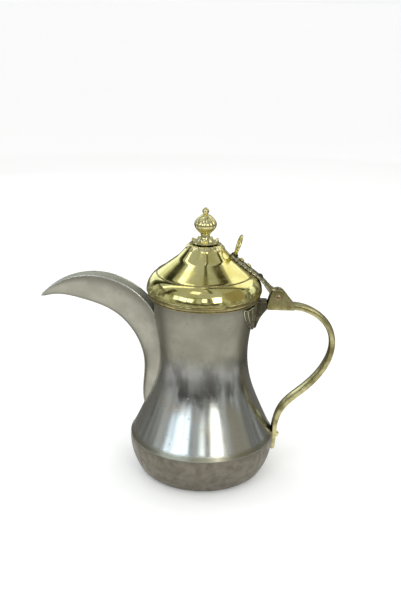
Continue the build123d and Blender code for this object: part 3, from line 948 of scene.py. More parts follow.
@dataclass
class Vessel:
    """Shoulder and neck in one sheet, bowl under them, let-in bottom plate and seams."""

    foot_r: float = 49.2
    disc_r: float = 44.0
    lap: float = 5.0
    lap_r: float = 61.5
    seam_step: float = 0.35
    swell: float = 0.10
    swell_reach: float = 21.0
    pour_top: tuple = (148.0, 8.0)
    pour_foot: tuple = (96.0, 3.0)

    def build(self) -> None:
        """Makes and dresses the vessel's pieces."""
        self.build_shoulder()
        self.build_lining()
        self.build_bowl()
        self.build_seam()
        dress_node("base_disc", TIN_BOWL)

    def _swell(self, angles: np.ndarray, outline: np.ndarray) -> np.ndarray:
        """Slight unevenness of the hand-planished wall, none at the seam or the mouth."""
        heights = outline[:, 1]
        fade = np.clip((heights - SEAM_Z) / 8, 0, 1) * np.clip((NECK_STRAIGHT_Z - heights) / 10, 0, 1)
        return self.swell * turned_swell(angles, outline, 0.6, self.swell_reach, 3.7) * fade

    def build_shoulder(self) -> bpy.types.Object:
        """Outer wall from the belly seam to the mouth, with the pour opening behind the beak."""
        outer = shoulder_track(0).sample(110)
        middle = shoulder_track(SHEET / 2).sample(60)[::-1]
        lip = [(NECK_R, NECK_TOP_Z), (NECK_R - SHEET / 2, NECK_TOP_Z)]
        outline = np.vstack([outer, lip, middle, [(BELLY_R - SHEET / 2, SEAM_Z)]])
        item = lathe("vessel_shoulder", outline, 224, self._swell)
        cut(item, self._pour_cutter())
        return fit(item, TIN_SHEET, Body.POT, Slot.SHEET, "upper_body")

    def build_lining(self) -> bpy.types.Object:
        """Inner face of the same sheet, tinned and dull."""
        middle = shoulder_track(SHEET / 2 + 0.02).sample(60)
        inner = shoulder_track(SHEET).sample(60)[::-1]
        lip = [(NECK_R - SHEET / 2 - 0.02, NECK_TOP_Z), (NECK_R - SHEET, NECK_TOP_Z)]
        item = lathe("vessel_lining", np.vstack([middle, lip, inner]), 160)
        cut(item, self._pour_cutter())
        return fit(item, TIN_INSIDE, Body.POT, Slot.SHEET)

    def _pour_cutter(self) -> bpy.types.Object:
        """Pear-shaped bar that cuts the pour opening through the neck's -X side."""
        outline = hull([(0.0, *self.pour_top), (0.0, *self.pour_foot)])
        return prism("pour_cutter", [(x, y, z) for x in (-2 * NECK_R, -10.0) for y, z in outline])

    def build_bowl(self) -> bpy.types.Object:
        """Bowl with its rounded foot, and the lap that stands behind the shoulder."""
        bend = arc((self.foot_r, 0.0), (54.3, 1.35), (58.2, 5.0), 14)
        side = arc((58.2, 5.0), (64.2, 18.5), (BELLY_R, SEAM_Z - self.seam_step), 30)[1:]
        lip = [(BELLY_R - self.seam_step, SEAM_Z - 0.05), (BELLY_R - SHEET - 0.1, SEAM_Z - 0.05)]
        lap = [(self.lap_r, SEAM_Z + self.lap), (self.lap_r - SHEET, SEAM_Z + self.lap)]
        inner = arc((BELLY_R - 2 * SHEET, SEAM_Z - 1), (62.9, 18.5), (57.2, 6.0), 24)
        inner_bend = arc((57.2, 6.0), (53.7, 2.5), (self.foot_r, SHEET), 10)[1:]
        start, end = [(self.disc_r, 0.0)], [(self.disc_r, SHEET)]
        outline = np.vstack([start, bend, side, lip, lap, inner, inner_bend, end])
        item = lathe("vessel_bowl", softened(outline, 0.3, 3), 224, self._bowl_swell)
        return fit(item, TIN_BOWL, Body.POT, Slot.BOWL, "lower_bowl")

    def _bowl_swell(self, angles: np.ndarray, outline: np.ndarray) -> np.ndarray:
        """Unevenness of the hammered bowl, none at its foot or at the seam."""
        heights = outline[:, 1]
        fade = np.clip((heights - 1.5) / 5, 0, 1) * np.clip((SEAM_Z - 1 - heights) / 5, 0, 1)
        return 1.4 * self.swell * turned_swell(angles, outline, 1.0, 0.6 * self.swell_reach, 8.1) * fade

    def build_seam(self) -> bpy.types.Object:
        """Thin line of solder where the bowl meets the shoulder."""
        angles, profile = steps_round(160)[:, None], steps_round(8)
        bead = 0.32 + 0.07 * np.sin(9 * angles) * np.sin(4 * angles + 1.0)
        radius = BELLY_R - 0.12 + bead * np.cos(profile)
        grid = polar(radius, angles, SEAM_Z + bead * np.sin(profile))
        return fit(grid_object("vessel_seam", grid), SOLDER, Body.POT, Slot.BOWL)


@dataclass
class Collar:
    """Brass band round the mouth, with a rolled upper edge and a thin bead below."""

    outer_r: float = 50.0
    foot_z: float = 169.0
    top_z: float = 174.2
    mouth_r: float = 44.4

    def build(self) -> None:
        """Makes and dresses the collar."""
        r, foot, top = self.outer_r, self.foot_z, self.top_z
        under = [(NECK_R, foot), (r - 1.0, foot)]
        bead = arc((r - 0.7, foot + 0.1), (r - 0.35, 169.5), (r - 0.9, 169.95), 6)
        face = arc((r - 0.75, foot + 1.2), (r, 171.9), (r - 0.35, 173.8), 12)
        inside = [(r - 0.7, top), (self.mouth_r, top), (self.mouth_r, NECK_TOP_Z), (NECK_R, NECK_TOP_Z)]
        outline = np.vstack([under, bead, face, inside])
        item = lathe("collar_band", softened(outline, 0.25, 3), 224, self._hammered)
        fit(item, COLLAR_BRASS, Body.POT, Slot.COLLAR, "mouth_collar")

    def _hammered(self, angles: np.ndarray, outline: np.ndarray) -> np.ndarray:
        """Faint flats left by the hammer on the band's face."""
        face = np.clip((outline[:, 0] - self.outer_r + 1.2) / 0.8, 0, 1)
        return 0.05 * np.sin(46 * angles + 1.5 * np.sin(3 * angles)) * face


# ---- beak ----


@dataclass
class Beak:
    """Folded spout, open along the top: its edges, its keel seam and the solder at its root."""

    tip_half: float = 1.6
    root_half: float = 13.4
    growth: float = 0.72
    flank_width: float = 0.68
    flank_height: float = 0.36
    bead: float = 0.62

    def __post_init__(self) -> None:
        """Fits the beak's top and keel lines."""
        self.top = Track(
            [(-144, 167), (-121, 183), (-99, 187.3), (-73.5, 181.5), (-47.5, 160.5), (-34, 130), (-30, 117)]
        )
        self.keel = Track(
            [
                (-144.4, 165.5), (-129.5, 168.2), (-109, 164.6), (-79.3, 152.2), (-60.1, 129.6),
                (-53, 105), (-53.6, 66), (-50, 54),
            ]
        )

    def half(self, share: float) -> float:
        """Half width across the two top edges."""
        return self.tip_half + (self.root_half - self.tip_half) * share**self.growth

    def surface(self, share: float, across: np.ndarray, inset: float = 0.0) -> np.ndarray:
        """Points across the beak's wall at a share of its length.

        Args:
            share: From 0 at the tip to 1 at the root.
            across: From 0 at one top edge, over the keel, to 1 at the other.
            inset: Depth below the outer face, in millimetres.

        Returns:
            Points in millimetres.
        """
        keel, top = self.keel.at(share), self.top.at(share)
        height = float(np.linalg.norm(top - keel))
        rise = (top - keel) / height
        half = self.half(share) - inset
        flank = self.flank_width * (half + inset) - inset
        bend = self.flank_height * height + inset
        knots = [(-half, height), (-flank, bend), (0, 1.4 * inset), (flank, bend), (half, height)]
        section = Track(knots).at(across)
        return np.column_stack(
            [keel[0] + section[:, 1] * rise[0], section[:, 0], keel[1] + section[:, 1] * rise[1]]
        )

    def wall(self, share: float) -> float:
        """Sheet thickness, thinned towards the tip."""
        return SHEET * (0.4 + 0.6 * share**0.3)

    def build(self) -> None:
        """Makes and dresses the beak's pieces."""
        fit(self.build_sheet("beak_sheet", 0.0, 0.55), TIN_SPOUT, Body.POT, Slot.SHEET, "spout")
        fit(self.build_sheet("beak_lining", 0.56, 1.0), TIN_LINING, Body.POT, Slot.SHEET)
        for side, name in ((0, "near"), (1, "far")):
            self.build_edge(side, name)
        self.build_solder()
        self.build_keel()

    def build_sheet(self, name: str, outside: float, inside: float) -> bpy.types.Object:
        """One layer of the folded sheet, cut to the neck it stands on.

        Args:
            name: Name of the piece.
            outside: Depth of its outer face, as a share of the sheet's thickness.
            inside: Depth of its inner face.

        Returns:
            The layer.
        """
        across = np.linspace(0, 1, 49)
        rows = []
        for share in np.linspace(0, 1, 90):
            wall = self.wall(share)
            outer = self.surface(share, across, outside * wall)
            inner = self.surface(share, across[::-1], inside * wall)
            rows.append(np.vstack([outer, inner]))
        item = grid_object(name, np.stack(rows), around=False)
        self._close(item)
        core = np.vstack([[(0, SEAM_Z)], NECK_LINE - (0.05, 0), [(NECK_R - 0.05, 190.0), (0, 190.0)]])
        cut(item, lathe("beak_cutter", core, 128))
        return item

    @staticmethod
    def _close(item: bpy.types.Object) -> None:
        """Fills the open ends of a swept mesh."""
        work = bmesh.new()
        work.from_mesh(item.data)
        loose = [edge for edge in work.edges if edge.is_boundary]
        bmesh.ops.holes_fill(work, edges=loose, sides=0)
        work.to_mesh(item.data)
        work.free()
        finish_mesh(item.data)

    def _root_share(self, place: float) -> float:
        """Share of the length at which the wall meets the neck, for a place across it."""
        for share in np.linspace(0.3, 1.0, 281):
            x, y, z = self.surface(share, np.array([place]))[0]
            if math.hypot(x, y) < vessel_radius(z):
                return float(share)
        return 1.0

    def build_edge(self, side: int, name: str) -> bpy.types.Object:
        """Pale bead along the top of one wall, its colour a painted highlight along the edge."""
        shares = np.linspace(0.0, self._root_share(float(side)), 70)
        place = np.array([float(side)])
        points = []
        for share in shares:
            outer, inner = self.surface(share, place)[0], self.surface(share, place, self.wall(share))[0]
            points.append((outer + inner) / 2)
        radii = self.bead * (0.55 + 0.45 * np.clip(shares / 0.4, 0, 1))
        item = tube(f"beak_edge_{name}", np.array(points), radii, np.array([0.0, 1.0, 0.0]), 10)
        return fit(item, TIN_EDGE_HIGHLIGHT, Body.POT, Slot.SHEET)

    def build_solder(self) -> bpy.types.Object:
        """Solder run where the beak stands on the neck."""
        places = np.linspace(0.0, 1.0, 90)
        points = np.array([self.surface(self._root_share(p), np.array([p]))[0] for p in places])
        radii = 0.75 + 0.12 * np.sin(37 * places) * np.cos(11 * places)
        item = tube("beak_solder", points, radii, level_outward(points), 10)
        return fit(item, SOLDER, Body.POT, Slot.SHEET)

    def build_keel(self) -> bpy.types.Object:
        """Folded seam along the keel."""
        shares = np.linspace(0.01, self._root_share(0.5) - 0.004, 80)
        points = on_middle(self.keel.at(shares))
        item = tube("beak_keel_seam", points, 0.55, np.array([0.0, 1.0, 0.0]), 10)
        return fit(item, TIN_SPOUT, Body.POT, Slot.SHEET)


# ---- handle and its fittings ----


@dataclass
class Handle:
    """Cast brass handle with a forked head, its pin and foot rivet."""

    half: float = 5.8
    edge: float = 3.9
    crown: float = 0.9
    cheek_r: float = 6.8
    slot_half: float = 3.2
    slot_floor: float = 162.6
    pin_r: float = 2.0
    pin_head_r: float = 3.1
    pin_head_thick: float = 1.2
    rivet_z: float = 33.0
    rivet_r: float = 2.9
    rivet_face: float = 70.0
    tail_share: float = 0.015

    def build(self) -> None:
        """Makes and dresses the handle's pieces."""
        self.build_strap()
        self.build_head()
        self.build_pin()
        self.build_rivet()

    def build_strap(self) -> bpy.types.Object:
        """Strap with crowned faces and worn edges, thinned to a rounded tail."""
        path = Track(
            [
                (66.0, 160.8), (84.0, 160.3), (99.5, 154.3), (111.5, 142.5), (116.3, 125.0),
                (110.5, 103.5), (92.0, 80.3), (73.9, 61.6), (68.0, 43.0), (66.0, 18.5),
            ],
            (1, 0),
            (-0.22, -1),
        )
        tail_end = 1 - self.tail_share * np.linspace(0.9, 0, 7) ** 2
        shares = np.concatenate([np.linspace(0.0, 1 - self.tail_share, 150), tail_end])
        centres, ahead = on_middle(path.at(shares)), path.heading(shares)
        ups = on_middle(np.column_stack([-ahead[:, 1], ahead[:, 0]]))
        sides = np.tile((0.0, 1.0, 0.0), (len(shares), 1))
        half_edge = self.edge / 2
        top = arc((-self.half, half_edge), (0, half_edge + self.crown), (self.half, half_edge), 13)
        section = softened(np.vstack([top, -top]), 2.3, 8)
        tail = np.sqrt(np.clip((1 - shares) / self.tail_share, 0, 1)) * 0.6 + 0.4
        sections = section[None] * tail[:, None, None]
        uneven = 1 + 0.018 * ripple(centres, 14.0, 5.2)
        item = sweep("handle_strap", centres, sides, ups, sections * uneven[:, None, None], 50)
        return fit(item, HANDLE_BRASS, Body.POT, Slot.HANDLE, "handle")

    def build_head(self) -> bpy.types.Object:
        """Forked head: round cheeks either side of the hinge slot."""
        circles = [
            (PIN_X, PIN_Z, self.cheek_r), (57.0, 163.0, 1.0), (57.0, 159.2, 1.0),
            (79.5, 161.3, 1.0), (79.5, 159.0, 1.0),
        ]
        item = plate("handle_head", hull(circles), HEAD_HALF)
        floor = [(50.0, self.slot_floor), (76.0, self.slot_floor)]
        gap = [*floor, (82.0, 172.0), (82.0, 182.0), (50.0, 182.0)]
        cut(item, plate("head_cutter", gap, self.slot_half))
        soften(item, 1.1, 5)
        return fit(item, HANDLE_BRASS, Body.POT, Slot.HANDLE)

    def build_pin(self) -> bpy.types.Object:
        """Copper pin with a peened dome at each end."""
        end = HEAD_HALF + self.pin_head_thick
        dome = arc((self.pin_r - 0.1, end - 0.35), (1.2, end - 0.08), (0.0, end), 9)
        half = np.vstack([[(self.pin_r, HEAD_HALF - 0.1), (self.pin_r, end - 0.7)], dome])
        outline = np.vstack([half[::-1] * (1, -1), half])
        item = lathe("hinge_pin_peened", outline, 40, self._peened, (PIN_X, 0, PIN_Z), (0, 1, 0))
        for side, name in ((-1, "near"), (1, "far")):
            self.build_pin_washer(side, name)
        return fit(item, COPPER, Body.POT, Slot.COPPER, "hinge_pin")

    def build_pin_washer(self, side: int, name: str) -> bpy.types.Object:
        """Domed brass washer under the pin's peened end."""
        face = arc((self.pin_head_r, 0.15), (2.7, 0.65), (self.pin_r, self.pin_head_thick - 0.4), 8)
        outline = np.vstack([[(self.pin_r, -0.1), (self.pin_head_r, -0.1)], face])
        origin = (PIN_X, side * HEAD_HALF, PIN_Z)
        item = lathe(f"pin_washer_{name}", outline, 48, self._peened, origin, (0, side, 0))
        return fit(item, HANDLE_BRASS, Body.POT, Slot.HANDLE)

    @staticmethod
    def _peened(angles: np.ndarray, outline: np.ndarray) -> np.ndarray:
        """Flats left by the hammer round a rivet's dome."""
        return 0.08 * np.sin(5 * angles + outline[:, 1]) * np.clip(outline[:, 0] - 1.2, 0, 1)

    def build_rivet(self) -> bpy.types.Object:
        """Bright domed rivet through the tail, flat inside the bowl."""
        face, inside = self.rivet_face, BELLY_R - 2 * SHEET
        dome = arc((self.rivet_r, face + 0.2), (2.0, face + 2.1), (0.0, face + 2.6), 10)
        head = [(0.0, inside), (self.rivet_r - 0.4, inside), (self.rivet_r, inside + 0.4)]
        outline = np.vstack([head, [(1.6, inside + 1.0), (1.6, face - 0.1)], dome])
        item = lathe("tail_rivet", outline, 36, self._peened, (0, 0, self.rivet_z), (1, 0, 0))
        return fit(item, CAST_BRASS, Body.POT, Slot.AGED, "foot_rivet")


@dataclass
class Bracket:
    """Fluted leaf plate soldered round the neck, and the arm that carries the handle's head."""

    face_x: float = 56.0
    top_z: float = 166.0
    foot_z: float = 140.5
    half: float = 31.0
    thick: float = 1.4
    relief: float = 1.1
    flutes: int = 9
    arm_half: float = 5.2

    def build(self) -> None:
        """Makes and dresses the bracket."""
        self.build_palm()
        self.build_border()
        self.build_arm()

    def _half_at(self, heights: np.ndarray) -> np.ndarray:
        """Half width of the leaf plate at each height."""
        side = [(self.half, self.top_z), (0.86 * self.half, 155.3), (0.5 * self.half, 144.6)]
        line = Track([*side, (0.0, self.foot_z)], (0, -1), (-1, 0)).points[::-1]
        return np.interp(heights, line[:, 1], line[:, 0])

    def build_palm(self) -> bpy.types.Object:
        """Palmette: flutes that fan out from the plate's foot, inside a raised rim."""
        down = np.linspace(0, 1, 70)
        heights = self.foot_z + (self.top_z - self.foot_z) * down
        across = np.linspace(-1, 1, 121)
        half = np.maximum(self._half_at(heights), 0.25)
        y = half[:, None] * across[None, :]
        z = np.broadcast_to(heights[:, None], y.shape)
        radius = vessel_radius(z)
        rim = np.clip((np.abs(across) - 0.88) / 0.06, 0, 1)[None, :]
        ribs = np.abs(np.cos(math.pi * self.flutes * across / 2))[None, :] ** 0.7
        inner = np.clip(half / 6.0, 0, 1)[:, None]
        lift = self.thick + self.relief * (ribs * (1 - rim) * inner + rim)
        edge = np.clip((1 - np.abs(across)) / 0.03, 0, 1)[None, :] ** 0.5
        lift = lift * (0.25 + 0.75 * edge)
        foot = np.clip(down / 0.05, 0, 1)[:, None] ** 0.5
        top = np.clip((1 - down) / 0.04, 0, 1)[:, None] ** 0.5
        lift = lift * (0.4 + 0.6 * foot) * (0.55 + 0.45 * top)
        angle = np.arcsin(np.clip(y / (radius + lift), -1, 1))
        outer = polar(radius + lift, angle, z)
        behind = polar(radius - 0.05, np.arcsin(np.clip(y / radius, -1, 1)), z)
        grid = np.concatenate([outer, behind[:, ::-1]], axis=1)
        item = capped_object("bracket_palm", grid, 60)
        return fit(item, BRONZE, Body.POT, Slot.AGED, "neck_bracket")

    def build_border(self) -> bpy.types.Object:
        """Dark cord border round the leaf plate's curved edge; its dark colour is a painted shadow along that
        edge.
        """
        drop = np.concatenate([np.linspace(0, 1, 60), np.linspace(1, 0, 60)[1:]])
        low, high = self.foot_z + 0.6, self.top_z - 0.8
        heights = low + (high - low) * (1 - np.sin(drop * math.pi / 2))
        side = np.where(np.arange(len(drop)) < 60, -1.0, 1.0)
        y = side * (self._half_at(heights) - 0.4)
        radius = vessel_radius(heights) + 1.3
        angle = np.arcsin(np.clip(y / radius, -1, 1))
        points = polar(radius, angle, heights)
        item = tube("bracket_border", points, 1.15, level_outward(points), 10)
        # The dark finish paints the shadow along the plate's edge.
        return fit(item, BLACKENED_AND_SHADE, Body.POT, Slot.AGED)

    def build_arm(self) -> bpy.types.Object:
        """Arm under the handle's head, concave on its outer side."""
        back_z = np.linspace(self.top_z, self.foot_z, 12)
        back = np.column_stack([vessel_radius(back_z), back_z])
        face = arc((self.face_x, 158.2), (50.9, 151.4), (46.6, self.foot_z), 16)[::-1]
        outline = np.vstack([back, face, [(self.face_x, self.top_z)]])
        item = plate("bracket_arm", outline, self.arm_half)
        soften(item, 0.9, 3)
        return fit(item, BLACKENED_AND_SHADE, Body.POT, Slot.AGED)


# ---- lid ----


@dataclass
class Lid:
    """Spun brass lid: rim bulge, moulding at the crease, cone and flat top."""

    wall: float = 1.0
    rim_r: float = 51.1
    rim_z: float = 174.5
    moulding: float = 0.75
    swell: float = 0.085

    def build(self) -> None:
        """Makes and dresses the lid's shell and its moulding."""
        self.build_shell()
        self.build_moulding()
        dress_node("lid_skirt", TIN_INSIDE)
        dress_node("finial_burr", COLLAR_BRASS)

    def build_shell(self) -> bpy.types.Object:
        """Outer and inner faces of the spun shell in one closed turning."""
        rim = arc((self.rim_r, self.rim_z + 0.7), (49.3, 182.6), (CREASE_R, CREASE_Z), 30)
        slope = lid_line().points[::-1]
        tilt = math.atan2(CONE_HEAD[1] - CONE_FOOT[1], CONE_FOOT[0] - CONE_HEAD[0])
        inset = self.wall / math.sin(tilt)
        under = LID_TOP_Z - self.wall
        head, foot = (CONE_HEAD[0] - inset, CONE_HEAD[1]), (CONE_FOOT[0] - inset, CONE_FOOT[1])
        inner_crown = arc((LID_TOP_R - inset, under), (17.9 - inset, 211.0), head, 12)
        inner_end = (self.rim_r - self.wall, self.rim_z)
        inner_rim = arc((CREASE_R - inset, CREASE_Z - 1), (48.3, 181.9), inner_end, 18)
        last = [(self.rim_r - 0.6, self.rim_z)]
        outline = np.vstack([rim, slope, [(0.0, under)], inner_crown, [foot], inner_rim, last])
        item = lathe("lid_shell", outline, 256, self._swell)
        return fit(item, LID_BRASS, Body.LID, Slot.LID, "lid_dome")

    def _swell(self, angles: np.ndarray, outline: np.ndarray) -> np.ndarray:
        """Slight unevenness of the spun brass, none at the rim."""
        fade = np.clip((outline[:, 1] - self.rim_z - 2) / 4, 0, 1) * np.clip(outline[:, 0] / 20, 0, 1)
        return self.swell * turned_swell(angles, outline, 0.4, 11.0, 12.3) * fade

    def build_moulding(self) -> bpy.types.Object:
        """Fine raised line round the crease between bulge and cone, in darker brass that paints the dark line
        at the crease as shade.
        """
        angles, profile = steps_round(200)[:, None], steps_round(10)
        radius = CREASE_R - 0.45 + self.moulding * np.cos(profile)
        grid = polar(radius, angles, CREASE_Z + 0.1 + self.moulding * np.sin(profile))
        # Darker collar brass here is painted shade along the crease.
        return fit(grid_object("lid_moulding", grid), COLLAR_BRASS, Body.LID, Slot.LID)


@dataclass
class Crown:
    """Draped petals, upturned rosette and ribbed knob at the lid's top."""

    petal_reach: float = 4.0
    petal_base: float = 14.0
    petal_thick: float = 0.55
    rosette_r: float = 12.4
    rosette_thick: float = 1.0
    ribs: int = 7
    rib_depth: float = 0.075
    ball_r: float = 9.8

    def build(self) -> None:
        """Makes and dresses the crown's pieces."""
        self.build_petals()
        self.build_rosette()
        self.build_knob()

    def build_petals(self) -> bpy.types.Object:
        """Eight stamped petals, each with a midrib and a turned-up edge."""
        line = lid_line()
        angles = steps_round(PETALS * 40)
        lobe = np.abs(np.cos(PETALS * angles / 2))
        reach = self.petal_base + self.petal_reach * lobe**0.55
        share = np.linspace(0.16, 1, 26)
        past_flat = LID_TOP_R + (reach - LID_TOP_R) * 1.18
        place = share[None, :] * past_flat[:, None] / line.lengths[-1]
        point = line.at(place)
        ahead = line.heading(place)
        normal = np.stack([-ahead[..., 1], ahead[..., 0]], axis=-1)
        across = (PETALS * angles / TURN + 0.5) % 1 - 0.5
        outward = np.clip((share - 0.55) / 0.45, 0, 1)[None, :]
        rib = np.exp(-((across / 0.045) ** 2))[:, None]
        belly = (np.cos(across * TURN) * 0.5 + 0.5)[:, None]
        edge = np.exp(-(((share - 0.94) / 0.05) ** 2))[None, :]
        thick = self.petal_thick * (1 + outward * (0.55 * belly - 0.55 * rib) + 0.35 * edge)
        thick = thick * np.sqrt(np.clip((1.02 - share) / 0.06, 0.1, 1))[None, :]
        top = point + normal * thick[..., None]
        base = point + normal * 0.03
        loop = np.concatenate([top, base[:, ::-1]], axis=1)
        grid = polar(loop[..., 0], angles[:, None], loop[..., 1])
        item = grid_object("crown_petals", grid, sharp=55)
        return fit(item, CAST_BRASS, Body.LID, Slot.LID, "petal_skirt")

    def build_rosette(self) -> bpy.types.Object:
        """Eight small petals that stand up round the knob's foot."""
        angles = steps_round(PETALS * 32)
        across = (PETALS * angles / TURN) % 1 - 0.5
        lobe = np.abs(np.cos(across * math.pi))
        reach = self.rosette_r - 2.7 + 2.7 * lobe**0.6
        share = np.linspace(0, 1, 18)
        radius = 5.0 + (reach[:, None] - 5.0) * share[None, :]
        lift = 1.5 * np.clip((radius - 9.0) / 3.4, 0, 1) ** 1.5
        rib = np.exp(-((across / 0.05) ** 2))[:, None] * np.clip(share * 1.6 - 0.5, 0, 1)[None, :]
        foot = LID_TOP_Z + SHEET
        thick = self.rosette_thick * np.sqrt(np.clip((1.03 - share) / 0.12, 0.15, 1))[None, :]
        top = foot + 1.35 * lift + thick + 0.6 * lobe[:, None] * share[None, :] - 0.5 * rib
        base = foot - 0.6 * np.clip((radius - 7.0) / 3.0, 0, 1) + lift
        radii = np.concatenate([radius, radius[:, ::-1]], axis=1)
        heights = np.concatenate([top, base[:, ::-1]], axis=1)
        item = grid_object("crown_rosette_petals", polar(radii, angles[:, None], heights), sharp=55)
        return fit(item, CAST_BRASS, Body.LID, Slot.LID, "crown_rosette")

    def build_knob(self) -> bpy.types.Object:
        """Turned knob: flared foot, ribbed onion ball and bead tip."""
        foot = LID_TOP_Z + SHEET
        neck = Track([(6.4, foot + 1.6), (4.4, 220.8), (3.8, 224.2)], (-0.8, 0.6), (0, 1)).sample(14)
        fillet = arc((3.9, 224.3), (4.5, 224.9), (3.9, 225.5), 6)
        onion = [(4.0, 225.5), (7.5, 228.4), (self.ball_r, 233.4), (7.2, 238.7), (2.5, 241.9)]
        ball = Track(onion, (1, 0.55), (-1, 0.35)).sample(44)
        tip = arc((2.3, 242.9), (3.0, 244.8), (2.3, 246.7), 12)
        under = LID_TOP_Z - 2.9
        stud = [(0.0, under), (2.45, under), (2.45, foot), (6.0, foot), (6.4, foot + 0.3)]
        end = [(1.4, 247.5), (0.7, 247.8), (0.0, 247.8)]
        outline = np.vstack([stud, neck, fillet, ball, [(2.1, 242.3)], tip, end])
        item = lathe("crown_knob", outline, 168, self._ribbed)
        return fit(item, CAST_BRASS, Body.LID, Slot.LID, "finial")

    def _ribbed(self, angles: np.ndarray, outline: np.ndarray) -> np.ndarray:
        """Round ribs with narrow grooves between them, on the ball alone."""
        heights = outline[:, 1]
        on_ball = np.clip((heights - 226.0) / 2.5, 0, 1) * np.clip((241.2 - heights) / 2.5, 0, 1)
        groove = 1 - np.abs(np.cos(self.ribs * angles)) ** 0.5
        return -self.rib_depth * outline[:, 0] * groove * on_ball


# ---- lid hinge ----


